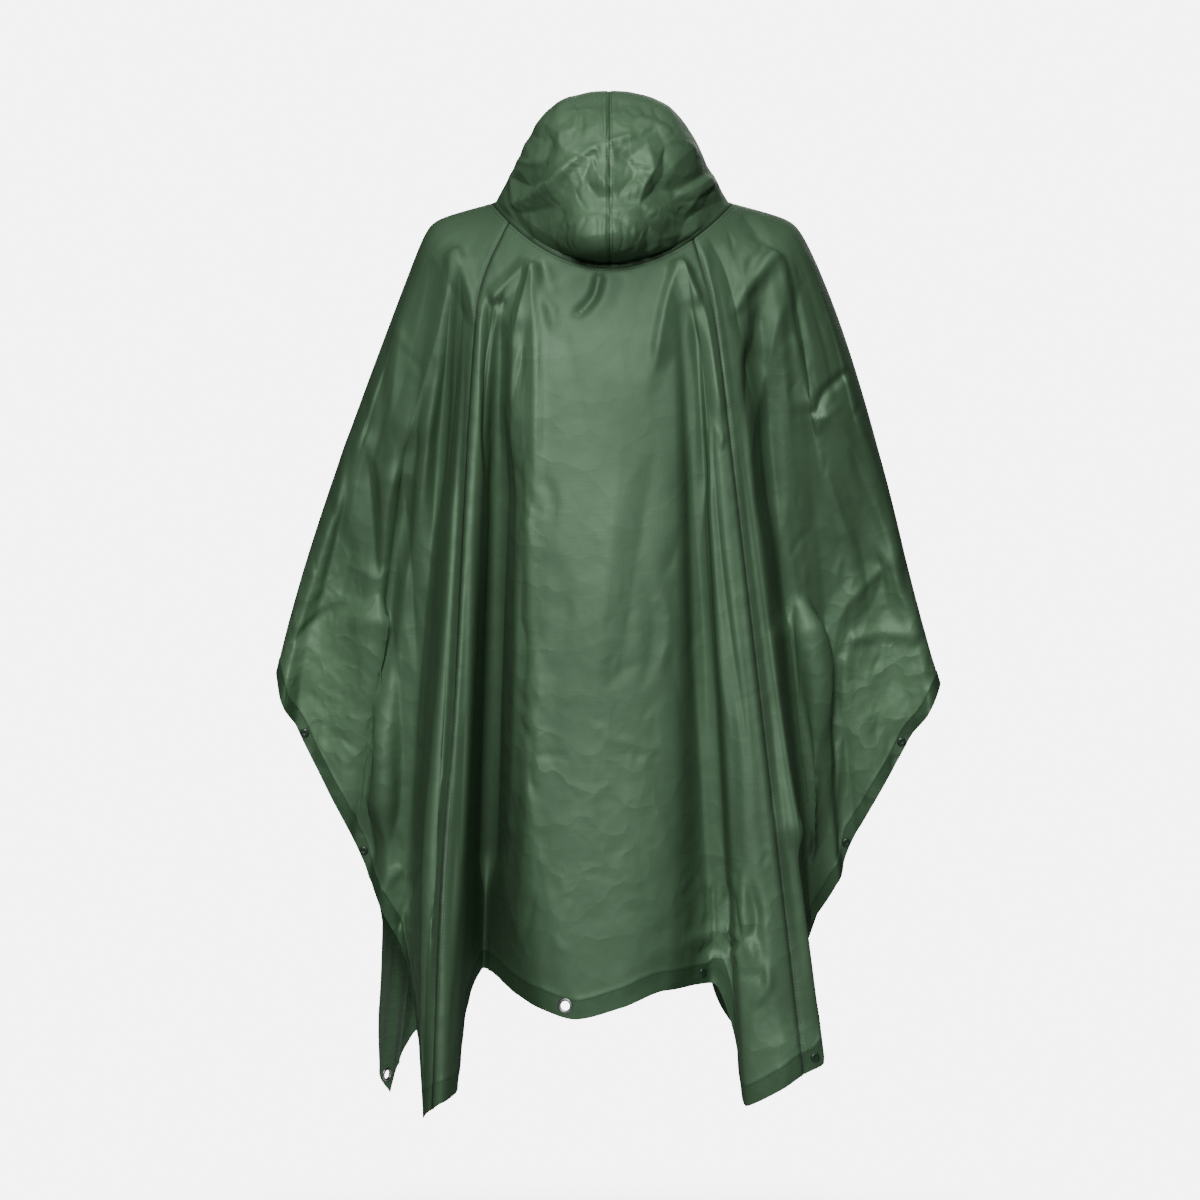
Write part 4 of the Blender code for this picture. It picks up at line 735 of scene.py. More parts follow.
FRONT_CREASES = (
    # chest and middle
    (4, 12, 14, 0.1, 0.35, ((105, -120), (118, -200), (128, -330), (130, -480))),
    (4, 10, 12, 0.12, 0.25, ((108, -118), (85, -150), (60, -176))),
    (-3.5, 10, 8, 0.15, 0.35, ((92, -128), (88, -190), (76, -250))),
    (4.2, 14, 12, 0.1, 0.35, ((-98, -118), (-120, -190), (-132, -300), (-138, -420))),
    (3.2, 12, 9, 0.12, 0.25, ((-95, -120), (-72, -156), (-46, -184))),
    (-3.4, 9, 10, 0.15, 0.35, ((-80, -130), (-76, -200), (-60, -270))),
    (-4.2, 7, 8, 0.06, 0.35, ((6, -100), (16, -140), (36, -176))),
    (-2.6, 7, 7, 0.06, 0.4, ((-16, -104), (-30, -136), (-34, -170))),
    (3, 22, 18, 0.3, 0.3, ((30, -330), (16, -470), (6, -610), (12, -760))),
    (-2.4, 16, 18, 0.3, 0.4, ((-46, -300), (-30, -450), (-36, -600))),
    (-2, 14, 12, 0.3, 0.3, ((74, -420), (62, -540), (64, -640))),
    (2, 12, 14, 0.3, 0.4, ((-78, -520), (-66, -640), (-74, -760))),
    (1.8, 12, 12, 0.3, 0.3, ((40, -640), (58, -750), (50, -850))),
    (-1.8, 12, 10, 0.3, 0.3, ((-10, -700), (-22, -800), (-14, -900))),
    (-1.2, 4, 4, 0.15, 0.25, ((20, -598), (50, -600), (84, -597))),
    (-1.2, 4, 4, 0.15, 0.25, ((-70, -602), (-40, -599), (-12, -601))),
    (-2, 10, 12, 0.3, 0.4, ((40, -190), (70, -240), (80, -300))),
    (-1.8, 12, 10, 0.3, 0.4, ((-20, -200), (-16, -280), (-30, -350))),
    # sleeves
    (4.8, 16, 20, 0.1, 0.2, ((196, -60), (205, -150), (240, -280), (280, -400))),
    (4.6, 18, 12, 0.12, 0.3, ((280, -400), (296, -500), (310, -590), (316, -680))),
    (-4.8, 16, 12, 0.2, 0.35, ((178, -80), (182, -180), (196, -300), (214, -420))),
    (-2.6, 10, 12, 0.3, 0.3, ((262, -200), (290, -300), (304, -360))),
    (-3, 10, 10, 0.3, 0.2, ((330, -420), (326, -500), (338, -560))),
    (-3, 6, 9, 0.15, 0.35, ((368, -470), (344, -500), (324, -512))),
    (-3.6, 10, 12, 0.2, 0.35, ((250, -480), (262, -560), (258, -660))),
    (4.8, 20, 16, 0.1, 0.2, ((-194, -55), (-206, -150), (-236, -270), (-268, -380))),
    (4.2, 12, 18, 0.12, 0.3, ((-268, -380), (-292, -470), (-318, -560), (-322, -650))),
    (-4.6, 12, 16, 0.2, 0.35, ((-176, -80), (-184, -180), (-196, -290), (-220, -430))),
    (-2.6, 12, 10, 0.3, 0.3, ((-276, -230), (-300, -320), (-318, -400))),
    (3.6, 8, 7, 0.1, 0.2, ((-372, -500), (-342, -508), (-312, -520))),
    (-2.4, 6, 6, 0.15, 0.25, ((-366, -522), (-336, -528), (-312, -540))),
    (-3.2, 10, 10, 0.2, 0.3, ((-300, -420), (-304, -490), (-290, -560))),
    (-3.4, 10, 9, 0.2, 0.35, ((-250, -420), (-262, -520), (-268, -640))),
    # pipes and their edges
    (2.2, 7, 8, 0.3, 0.3, ((190, -380), (206, -520), (220, -660), (232, -820))),
    (-2.4, 8, 7, 0.25, 0.35, ((160, -400), (172, -540), (178, -680))),
    (-1.4, 5, 5, 0.3, 0.3, ((262, -800), (266, -900), (268, -1000))),
    (2.2, 8, 7, 0.3, 0.3, ((-160, -380), (-172, -520), (-180, -660), (-186, -800))),
    (-2.4, 7, 8, 0.25, 0.35, ((-138, -420), (-146, -560), (-150, -700))),
    (-1.4, 5, 5, 0.3, 0.3, ((-204, -760), (-204, -860), (-206, -960))),
    (-3, 6, 5, 0.1, 0.25, ((276, -850), (268, -880), (262, -910))),
    (-3, 5, 6, 0.1, 0.25, ((-250, -830), (-240, -862), (-232, -900))),
    (2, 8, 9, 0.3, 0.25, ((110, -800), (104, -870), (90, -925))),
    (-1.8, 9, 8, 0.3, 0.25, ((-92, -790), (-86, -860), (-74, -920))),
)

# Corners of the flat facets that the hood has opened out into: x_mm, z_mm, height_mm
HOOD_FACETS = (
    (77, 140, 0), (41, 149, 0), (5, 152, 0), (-31, 149, 0),
    (-71, 138, 0), (107, 102, 0), (121, 66, 0), (137, 30, 0),
    (148, 4, 0), (-102, 102, 0), (-119, 66, 0), (-138, 36, 0),
    (-155, 10, 0), (125, -11, 0), (95, -32, 0), (59, -47, 0),
    (11, -59, 0), (-43, -50, 0), (-97, -36, 0), (-136, -8, 0),
    (40, 133, -4.8), (6, 137, -4.8), (-35, 136, -4.8), (44, 107, -1.6),
    (59, 97, 1.6), (58, 79, 4.8), (42, 73, 8), (4, 80, 11.2),
    (-37, 94, 4.8), (-23, 116, -1.6), (64, 124, 1.6), (77, 109, 3.2),
    (73, 88, -3.2), (74, 68, 0), (86, 23, 9.6), (59, 41, 11.2),
    (35, 59, 11.2), (68, 10, -3.2), (49, 25, -4.8), (30, 44, -1.6),
    (20, 60, 3.2), (91, 66, 4.8), (102, 52, 6.4), (97, 35, -4.8),
    (106, 1, 1.6), (114, 44, 3.2), (116, 11, 3.2), (83, -16, 3.2),
    (52, -4, 1.6), (59, -30, 3.2), (-25, 89, 8), (-44, 83, 4.8),
    (-52, 52, 8), (-23, 66, 1.6), (-52, 114, -1.6), (-78, 91, 4.8),
    (-66, 84, 0), (-30, 47, -4.8), (-55, 30, -6.4), (-76, 18, -3.2),
    (-97, 80, 4.8), (-107, 59, 1.6), (-64, 47, 0), (-85, 31, -3.2),
    (-116, 49, -1.6), (-126, 38, 3.2), (-100, 19, 8), (-109, 6, -1.6),
    (-136, 18, -1.6), (-92, 1, 0), (4, 59, 1.6), (4, 31, 6.4),
    (-40, 32, 4.8), (-11, 23, -1.6), (11, 18, -1.6), (-37, 13, -1.6),
    (-64, 11, -1.6), (11, 1, 4.8), (-55, -1, 6.4), (-47, -11, -1.6),
    (-92, -8, -3.2), (-52, -34, 6.4), (-100, -25, 4.8), (-76, -37, 4.8),
)

# Broad swellings and hollows: height_mm, x_mm, z_mm, radius_x_mm, radius_z_mm, turn_deg
HOOD_SWELLS = (
    (9, 11, -28, 41, 20, 0),
    (-5, 11, -52, 53, 8, 0),
    (5, 11, 47, 31, 26, 0),
    (-4, 59, -12, 19, 31, 0),
)
BACK_SWELLS = (
    (4, 6, -414, 72, 252, 0),
    (12, 211, -774, 16, 240, 0),
)

# Places where narrow folds are drawn together into broad planes: x_mm and z_mm of the middle, the two
# radii and the turn in degrees
BROAD_PLANES = (
    (-331, -546, 62, 110, 0),
    (-247, -390, 48, 204, -12),
    (-217, -690, 48, 180, 0),
    (-296, -318, 41, 132, -20),
    (329, -548, 60, 110, 0),
    (296, -348, 29, 96, -8),
    (233, -570, 38, 300, 3),
    (229, -162, 38, 132, 12),
    (-196, -534, 41, 396, -5),
    (191, -606, 31, 396, 2),
    (125, -522, 31, 360, 0),
    (-127, -582, 31, 336, -4),
)

# These places also get painted light: the colour there is painted paler.
# How crinkled the cloth is: the share, x_mm and z_mm of the middle, two radii and the turn in degrees
CRINKLED = (
    (0.12, 11, -462, 1080, 1080, 0),
    (0.95, 341, -570, 72, 144, 0),
    (0.95, -331, -570, 72, 132, 0),
    (0.5, 251, -894, 36, 108, 0),
    (0.5, -151, -870, 54, 84, 0),
    (0.5, -217, -1002, 48, 36, 0),
    (0.3, 95, -582, 22, 312, 0),
    (0.25, -13, -762, 84, 144, 0),
)
HOOD_CRINKLED = ((0.5, 0, 60, 150, 150, 0),)

# Fields of small crumples: x_mm and z_mm of the middle, half width and half height, how many, their
# shortest and longest length, their height, the way most of them run in degrees and its spread
BACK_CRUMPLES = (
    (335, -510, 60, 108, 26, 18, 60, 1.3, 60, 50),
    (308, -702, 60, 72, 22, 18, 50, 1.1, 70, 50),
    (239, -582, 29, 264, 20, 25, 80, 1, 88, 14),
    (101, -582, 26, 276, 34, 18, 60, 1, 85, 30),
    (-37, -654, 72, 192, 40, 15, 60, 0.5, 70, 60),
    (-37, -486, 72, 144, 16, 25, 80, 0.5, 80, 30),
    (-301, -582, 60, 84, 34, 14, 45, 1.4, 60, 70),
    (-265, -318, 48, 132, 20, 20, 70, 1.1, 70, 40),
    (-133, -822, 60, 72, 30, 14, 45, 1.2, 60, 70),
    (-229, -990, 31, 48, 12, 12, 30, 0.9, 50, 70),
    (95, -858, 48, 60, 14, 18, 50, 1, 70, 50),
    (245, -894, 24, 84, 18, 12, 30, 1.2, 60, 70),
    (11, -162, 132, 108, 24, 25, 90, 0.4, 80, 40),
    (203, -102, 72, 96, 12, 25, 70, 0.9, 75, 30),
    (-193, -126, 72, 108, 14, 25, 70, 1, 70, 40),
)
HOOD_CRUMPLES = (
    (1, 78, 96, 72, 26, 12, 40, 0.5, 60, 80),
    (11, 18, 60, 54, 30, 8, 24, 0.6, 70, 80),
    (11, 114, 72, 36, 10, 10, 30, 0.4, 80, 50),
)
FRONT_CRUMPLES = (
    (300, -540, 90, 150, 40, 18, 60, 1.3, 60, 50),
    (-300, -540, 90, 150, 40, 18, 60, 1.3, 60, 60),
    (0, -500, 130, 330, 70, 18, 80, 1, 80, 50),
    (0, -880, 120, 80, 30, 15, 45, 1.1, 60, 70),
    (-190, -900, 50, 120, 18, 15, 45, 1, 70, 50),
    (250, -950, 50, 120, 18, 15, 45, 1, 70, 50),
    (150, -150, 70, 90, 14, 25, 70, 0.9, 75, 40),
    (-150, -150, 70, 90, 14, 25, 70, 0.9, 75, 40),
    (0, 40, 110, 110, 60, 12, 40, 1.5, 60, 80),
)

LINE_PIECES = 4  # short straight pieces between two points of a crease's line
CREST = 0.5  # how soft a crease's crest is, in millimetres
FLANK = 1.3  # 1 for flanks that are flat, 2 for ones that hollow out towards the crest
NARROW_END = 0.35  # width of a crease where it ends, as a share of its full width
BACK_SEED = 7
FRONT_SEED = 8
CRUMPLE_BEND = 0.4  # how far a crumple's middle may lie to one side, as a share of half its length
CRUMPLE_WIDTHS = (0.10, 0.20)  # of its length
CRUMPLE_HEIGHTS = (0.5, 1)  # of its field's height
CRUMPLE_FADES = (0.4, 0.45)  # shares of its length over which it rises and dies away
NARROWEST, WIDEST = 3.0, 11.0  # flanks of a crumple, in millimetres

# Broad planes, and waves along the edges
PLANE_CORE = 0.55  # share of a broad plane's radii over which it is wholly even
EVEN_REACH = 20  # columns of the grid on each side that count when narrow folds are drawn together
EVEN_WIDTH = 0.45  # share of that reach over which their weight dies away
EVEN_DEPTH = 0.003  # from the poncho's middle plane, over which this sets in
LEAST_WEIGHT = 1e-6
WAVE_COUNT = 5
WAVE_FADE = 0.6  # each further wave is this much fainter
WAVE_SHORTENING = 0.7  # and shorter
WAVE_SPREAD = (0.85, 1.15)  # of its length

# ---------------------------------------------------------------------------------------------------
# Sizes that a user would change
# ---------------------------------------------------------------------------------------------------


def linear(colour):
    """An sRGB hex colour as linear red, green and blue."""
    levels = [int(colour[i : i + 2], 16) / 255 for i in (1, 3, 5)]
    return [x / 12.92 if x <= 0.04045 else ((x + 0.055) / 1.055) ** 2.4 for x in levels]


def size(name, description, default, low=0.0, high=0.1):
    return FloatProperty(
        name=name, description=description, default=default, min=low, max=high, unit="LENGTH", precision=5
    )


def amount(name, description, default, **limits):
    return FloatProperty(name=name, description=description, default=default, min=0, **limits)


def paint(name, description, colour):
    return FloatVectorProperty(
        name=name, description=description, default=linear(colour), min=0, max=1, subtype="COLOR"
    )


class ClothSizes(bpy.types.PropertyGroup):
    thickness: size("Thickness", "Of the nylon, drawn thicker than it is so that the wall is solid", 0.0009)
    hem: size("Hem", "Turned-up band along the front and back edges", 0.024)
    side_hem: size("Side hem", "Turned-up band along the edges that carry the press studs", 0.015)
    brow_hem: size("Hood hem", "Turned-in band round the face opening", 0.020)
    hem_step: size("Hem step", "How far the folded layers of a hem stand out", 0.0005)
    seam_dip: size("Seam dip", "How far a seam pulls the cloth in", 0.0013)
    pucker: size("Seam pucker", "Height of the gathers that the sewing makes along a seam", 0.0005)
    ripple: size("Edge ripple", "Height of the slow waves along a free edge", 0.0012)
    creasing: amount("Creasing", "Share of the creases' height", 1.0, max=2, subtype="FACTOR")
    outside: paint("Outside", "Dark green of the coated face", "#4e6b50")
    shade: paint("Outside, duller", "Green where the coating has gone dull", "#456147")
    hem_green: paint("Hem", "Green of the doubled cloth along the edges", "#405f43")
    inside: paint("Inside", "Green of the uncoated face", "#456b49")


class TrimSizes(bpy.types.PropertyGroup):
    pitch: size("Stitch pitch", "From one stitch to the next", 0.0042)
    stitch: size("Stitch length", "Length of one stitch on the surface", 0.0030)
    thread: size("Thread", "Thickness of the thread, drawn a little coarse so that it shows", 0.0007)
    seam_stitch: size("Seam stitching", "From a seam to the row of stitches beside it", 0.0035)
    thread_green: paint("Thread", "Green of the sewing thread", "#2c4631")
    lacquer: paint("Press studs", "Dark green lacquer", "#1f3526")
    metal: paint("Eyelets", "Dulled aluminium", "#a9aeac")


class StageSizes(bpy.types.PropertyGroup):
    floor: size("Floor", "Height of the floor", -1.42, low=-3, high=0)
    key: amount("Key light", "Power of the soft light behind the wearer, where the camera is, W", 155.0)
    fill: amount("Fill light", "Power that the lights above and before the wearer are shares of, W", 18.0)
    ambient: amount("Ambient", "Light from all round", 0.04)
    glow: amount("Glow", "Brightness of the air behind", 7.0)
    backdrop: paint("Backdrop", "Colour of the floor and of the air behind", "#f4f4f4")


# ---------------------------------------------------------------------------------------------------
# Creasing
# ---------------------------------------------------------------------------------------------------


def seen_from(points, behind):
    """Where points lie on the upright plane that the creases are drawn on, in millimetres."""
    depth = points[..., 1] if behind else -points[..., 1]
    nearer = (EYE_DISTANCE - PICTURE_DEPTH) / (EYE_DISTANCE - depth)
    x = EYE_SIDE + (points[..., 0] - EYE_SIDE) * nearer
    z = EYE_HEIGHT + (points[..., 2] - EYE_HEIGHT) * nearer
    return 1000 * x, 1000 * z


def softened(line):
    """A smooth curve through a line's points (Catmull-Rom)."""
    points = np.array(line, float)
    ends = np.concatenate([2 * points[:1] - points[1:2], points, 2 * points[-1:] - points[-2:-1]])
    before, start, end, after = ends[:-3], ends[1:-2], ends[2:-1], ends[3:]
    t = (np.arange(LINE_PIECES) / LINE_PIECES)[:, None, None]
    curve = (
        2 * start
        + (end - before) * t
        + (2 * before - 5 * start + 4 * end - after) * t**2
        + (3 * start - before - 3 * end + after) * t**3
    ) / 2
    return np.concatenate([np.moveaxis(curve, 0, 1).reshape(-1, 2), points[-1:]])


def raised_by(x, z, creases):
    """How far creases raise the cloth at places seen at x and z, in millimetres."""
    raised = np.zeros(x.shape)
    for height, first_width, second_width, rises, fades, line in creases:
        line = softened(line)
        reach = max(first_width, second_width) + CREST
        low, high = line.min(axis=0) - reach, line.max(axis=0) + reach
        near = (x > low[0]) & (x < high[0]) & (z > low[1]) & (z < high[1])
        if not near.any():
            continue
        place = np.stack([x[near], z[near]], axis=-1)[:, None]
        start, step = line[:-1], np.diff(line, axis=0)
        lengths = np.linalg.norm(step, axis=1)
        share = np.clip(((place - start) * step).sum(axis=-1) / lengths**2, 0, 1)
        offset = place - start - share[..., None] * step
        apart = np.linalg.norm(offset, axis=-1)
        piece = apart.argmin(axis=1)
        closest = np.arange(len(piece)), piece
        beside = step[piece, 0] * offset[closest][:, 1] - step[piece, 1] * offset[closest][:, 0]
        reached = np.append(0, np.cumsum(lengths))
        along = (reached[piece] + share[closest] * lengths[piece]) / reached[-1]
        strength = smoothstep(along / rises) * smoothstep((1 - along) / fades)
        width = np.where(beside > 0, first_width, second_width) * (NARROW_END + (1 - NARROW_END) * strength)
        away = (np.sqrt(apart[closest] ** 2 + CREST**2) - CREST) / width
        raised[near] += height * strength * np.clip(1 - away, 0, 1) ** FLANK
    return raised


def over_ellipse(x, z, middle_x, middle_z, radius_x, radius_z, turn_deg):
    """Places along an ellipse's two axes, in shares of its radii from its middle."""
    turn = math.radians(turn_deg)
    across = (x - middle_x) * math.cos(turn) + (z - middle_z) * math.sin(turn)
    upward = (z - middle_z) * math.cos(turn) - (x - middle_x) * math.sin(turn)
    return across / radius_x, upward / radius_z


def swollen_by(x, z, swells):
    """The sum of soft swellings at places seen at x and z."""
    raised = np.zeros(x.shape)
    for height, *ellipse in swells:
        across, upward = over_ellipse(x, z, *ellipse)
        raised += height * np.exp(-(across**2) - upward**2)
    return raised


def folded_by(x, z, corners):
    """Flat facets between corners, as of cloth that was folded up and has opened out again."""
    raised = np.zeros(x.shape)
    places = [Vector(corner[:2]) for corner in corners]
    heights = np.array([corner[2] for corner in corners], float)
    _, _, triangles, origins, _, _ = delaunay_2d_cdt(places, [], [], 0, 0.001)
    for triangle in triangles:
        first, second, third = (origins[vertex][0] for vertex in triangle)
        (ax, az), (bx, bz), (cx, cz) = (corners[i][:2] for i in (first, second, third))
        doubled = (bz - cz) * (ax - cx) + (cx - bx) * (az - cz)
        a = ((bz - cz) * (x - cx) + (cx - bx) * (z - cz)) / doubled
        b = ((cz - az) * (x - cx) + (ax - cx) * (z - cz)) / doubled
        inside = (a >= 0) & (b >= 0) & (a + b <= 1)
        flat = a * heights[first] + b * heights[second] + (1 - a - b) * heights[third]
        raised[inside] = flat[inside]
    return raised


def crumple_lines(fields, seed):
    """Small creases scattered over fields, as rows of a crease table."""
    random = np.random.default_rng(seed)
    creases = []
    for x, z, half_width, half_height, count, shortest, longest, height, degrees, spread in fields:
        for _ in range(count):
            middle = random.uniform(-1, 1, 2) * (half_width, half_height) + (x, z)
            angle = math.radians(degrees + random.uniform(-spread, spread))
            length = random.uniform(shortest, longest)
            half = np.array([math.cos(angle), math.sin(angle)]) * length / 2
            bend = np.array([-half[1], half[0]]) * random.uniform(-CRUMPLE_BEND, CRUMPLE_BEND)
            widths = np.clip(random.uniform(*CRUMPLE_WIDTHS, 2) * length, NARROWEST, WIDEST)
            tall = height * random.uniform(*CRUMPLE_HEIGHTS) * random.choice((-1, 1))
            creases.append((tall, *widths, *CRUMPLE_FADES, (middle - half, middle + bend, middle + half)))
    return tuple(creases)


def creased(points, back_share, hood=False):
    """How far the cloth stands out of its smooth form at points, in metres."""
    x, z = seen_from(points, behind=True)
    if hood:
        creases = HOOD_CREASES + crumple_lines(HOOD_CRUMPLES, BACK_SEED)
        behind = raised_by(x, z, creases) + swollen_by(x, z, HOOD_SWELLS) + folded_by(x, z, HOOD_FACETS)
    else:
        creases = BACK_CREASES + crumple_lines(BACK_CRUMPLES, BACK_SEED)
        behind = raised_by(x, z, creases) + swollen_by(x, z, BACK_SWELLS)
    x, z = seen_from(points, behind=False)
    before = raised_by(x, z, FRONT_CREASES + crumple_lines(FRONT_CRUMPLES, FRONT_SEED))
    return (behind * back_share + before * (1 - back_share)) / 1000


def evened(points, to_seam):
    """Draws the narrow folds of a grid together into broad planes, at the places in BROAD_PLANES."""
    x, z = seen_from(points, behind=True)
    calm = np.zeros(x.shape)
    for ellipse in BROAD_PLANES:
        away = np.hypot(*over_ellipse(x, z, *ellipse))
        calm = np.maximum(calm, 1 - smoothstep((away - PLANE_CORE) / (1 - PLANE_CORE)))
    calm *= smoothstep(to_seam / SEAM_CALM)
    kernel = bell(np.arange(-EVEN_REACH, EVEN_REACH + 1), EVEN_WIDTH * EVEN_REACH)
    depth = points[..., 1].copy()
    for side in (1, -1):
        share = calm * np.clip(side * points[..., 1] / EVEN_DEPTH, 0, 1)
        total = np.array([np.convolve(row, kernel, mode="same") for row in share * points[..., 1]])
        weight = np.array([np.convolve(row, kernel, mode="same") for row in share])
        mean = total / np.maximum(weight, LEAST_WEIGHT)
        depth += share * (mean - points[..., 1]) * (weight > LEAST_WEIGHT)
    return np.stack([points[..., 0], depth, points[..., 2]], axis=-1)


def crinkled(points, places):
    """How crinkled the cloth is at points, from 0 to 1. It also sets how far painted light pales the
    colour.
    """
    x, z = seen_from(points, behind=True)
    return np.clip(swollen_by(x, z, places), 0, 1)


def waves(distance, longest, seed):
    """Uneven waves between -1 and 1 along a distance, the longest of this length."""
    random = np.random.default_rng(seed)
    total, weights = 0 * distance, 0
    for i in range(WAVE_COUNT):
        weight = 1 / (1 + WAVE_FADE * i)
        length = longest / (1 + WAVE_SHORTENING * i) * random.uniform(*WAVE_SPREAD)
        total = total + weight * np.sin(2 * np.pi * (distance / length + random.uniform(0, 1)))
        weights += weight
    return total / weights


# ---------------------------------------------------------------------------------------------------
# The cloth
# ---------------------------------------------------------------------------------------------------

# Columns and rows of the fine grids
BACK_GRID = (250, 190)
SIDE_GRID = (255, 185)
FRONT_GRID = (160, 130)
HOOD_GRID = (132, 168)
# Columns added beside a seam and rows kept below the neck, in metres from them
SPACING_BESIDE_SEAM = np.array([0.0012, 0.0026])
SPACING_BELOW_NECK = np.array([0.0, 0.0013, 0.0030, 0.0060])
# Rows across a hem, in shares of its width from the rim
HEM_SHARES = np.array([0.0, 0.06, 0.22, 0.42, 0.62, 0.80, 0.90, 0.97, 1.04, 1.30, 1.60])
HEM_STITCH_ROW = 6
HEM_CORNER_BLEND = 0.6  # rows of FEET over which a hem's width changes at a corner
HEM_EDGE = (0.97, 0.07)  # where a hem's folded layer ends, in shares of its width, and over how much
BROW_EDGE = (0.95, 0.20)
# A column that slants as it falls meets the rim askew, which widens its steps across the hem
SLANT_FROM = 0.98  # share of the column below which its slant counts
LEAST_SQUARE = 0.4
SLANT_COLUMNS = 7  # over which the slant is averaged

# Where the creases change from the back's to the front's
FRONT_DEG = 100  # from this angle on, round the hang line, a panel's are all the front's
FRONT_BLEND_DEG = 20  # over which they change before it
HOOD_FACING = (-0.10, 0.30)  # y of the hood's normal up to which they are the front's, and the blend
# Share of the creases' height where the cloth faces sideways, and the y of its normal where it is 1
PANEL_EDGE_ON = (0.2, 0.5)
HOOD_EDGE_ON = (0.4, 0.4)

# The longest wave of each kind, in metres, and its seed
PANEL_RIPPLE = (0.09, 3)
PANEL_PUCKER = (0.03, 5)
HOOD_PUCKER = (0.03, 9)
HOOD_RIPPLE = (0.07, 11)
RIPPLE_REACH = 0.035
PUCKER_REACH = 0.012

SEAM_FADE = 0.0030
# painted shade: the seams' creases are painted darker over these widths
PAINTED_SEAM_SHADE = 0.0018  # over which the shade in a seam's crease fades
MIDDLE_PAINTED_SEAM_SHADE = PAINTED_SEAM_SHADE / 2.2  # the hood's middle seam is finer
CALM_NEAR_NECK = 0.014
SEAM_CALM = 0.012  # over which a panel's folds come back to the form of its seam
HOOD_TUCK = 0.0016  # how far the hood's edge reaches down inside the panels
LAST_CLIMB = 0.995  # share of the way up to the middle seam at the hood's last column before it
# Cloth that is pressed together keeps to its own side of a sleeve's middle plane
LEAST_ROOM = 0.0016  # from that plane to the middle of the wall
ROOM_USED = 0.8  # share of what is left that a hollow may take
LEAST_FACING = 0.15
FLAT_ROUND_FASTENING = 0.0095
FLAT_BLEND = 0.014
FLAT_DEPTH = 0.012  # only cloth this close to a fastening's plane is laid into it
FLAT_FACING = 0.3
EYELET_HOLE = 0.0064
CAP_RIM = 0.005  # the points of a stud's cap are further from its axis than this
POST_REACH = 0.003  # and those of its post closer
CLOTH_SHARP_DEG = 70
METAL_SHARP_DEG = 40

finished = {}  # the finished cloth, which the stitching follows


def node_mesh(name):
    """The points of a solid."""
    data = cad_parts[name].data
    return np.array([vertex.co[:] for vertex in data.vertices])


def fastening_seat(name):
    """The middle of a fastening, where it meets the middle of the cloth, and its outward axis."""
    points = np.unique(np.round(node_mesh(name), 6), axis=0)
    mean = points.mean(axis=0)
    values, vectors = np.linalg.eigh(np.cov((points - mean).T))
    # it is round, so its axis is the direction whose spread is unlike the other two
    axis = vectors[:, 0 if values[1] - values[0] > values[2] - values[1] else 2]
    if name.startswith("eyelet"):
        centre = (points.min(axis=0) + points.max(axis=0)) / 2
        return mean, axis if axis @ cloth_outward(centre) > 0 else -axis
    heights = (points - mean) @ axis
    aside = np.linalg.norm(points - mean - heights[:, None] * axis, axis=1)
    rim = aside > CAP_RIM
    if heights[rim].mean() < heights[aside < POST_REACH].mean():
        axis, heights = -axis, -heights
    middle = mean + axis * (heights.max() - STUD_TOP)
    offset = points[rim].mean(axis=0) - middle
    return middle + offset - axis * (offset @ axis), axis


def cloth_outward(point):
    """The way out of the poncho at a point of its wall."""
    outward = np.array([point[0], point[1], 0])
    return outward / np.linalg.norm(outward)


def flattened(points, normal, seats):
    """Lays the cloth flat round its fastenings, in the plane that they sit in."""
    for centre, axis in seats:
        offset = points - centre
        out = offset @ axis
        aside = np.linalg.norm(offset - out[..., None] * axis, axis=-1)
        hold = 1 - smoothstep((aside - FLAT_ROUND_FASTENING) / FLAT_BLEND)
        hold = np.where((np.abs(out) < FLAT_DEPTH) & (normal @ axis > FLAT_FACING), hold, 0)
        points = points - axis * (out * hold)[..., None]
    return points


def grid_normals(points, like):
    """Unit normals of a grid of points, on the same side as the ones given."""
    across = np.gradient(points, axis=1)
    down = np.gradient(points, axis=0)
    normal = unit(np.cross(across, down))
    return normal * np.sign((normal * like).sum(axis=-1, keepdims=True))


def measured(points, axis):
    """Distance along a grid from its first row or column."""
    steps = np.linalg.norm(np.diff(points, axis=axis), axis=-1)
    start = np.zeros_like(np.take(steps, [0], axis=axis))
    return np.concatenate([start, np.cumsum(steps, axis=axis)], axis=axis)


def hem_width(u, sizes):
    """Width of the turned-up band at each column: broad along front and back, narrow at the sides."""
    sides = 0 * u
    for first, last in (CORNERS[:2], CORNERS[2:]):
        start, end = row_of(first), row_of(last)
        for turn in (0, len(FEET)):
            entered = smoothstep((u - start - turn) / HEM_CORNER_BLEND + 0.5)
            sides += entered * smoothstep((end + turn - u) / HEM_CORNER_BLEND + 0.5)
    return sizes.hem + (sizes.side_hem - sizes.hem) * np.clip(sides, 0, 1)


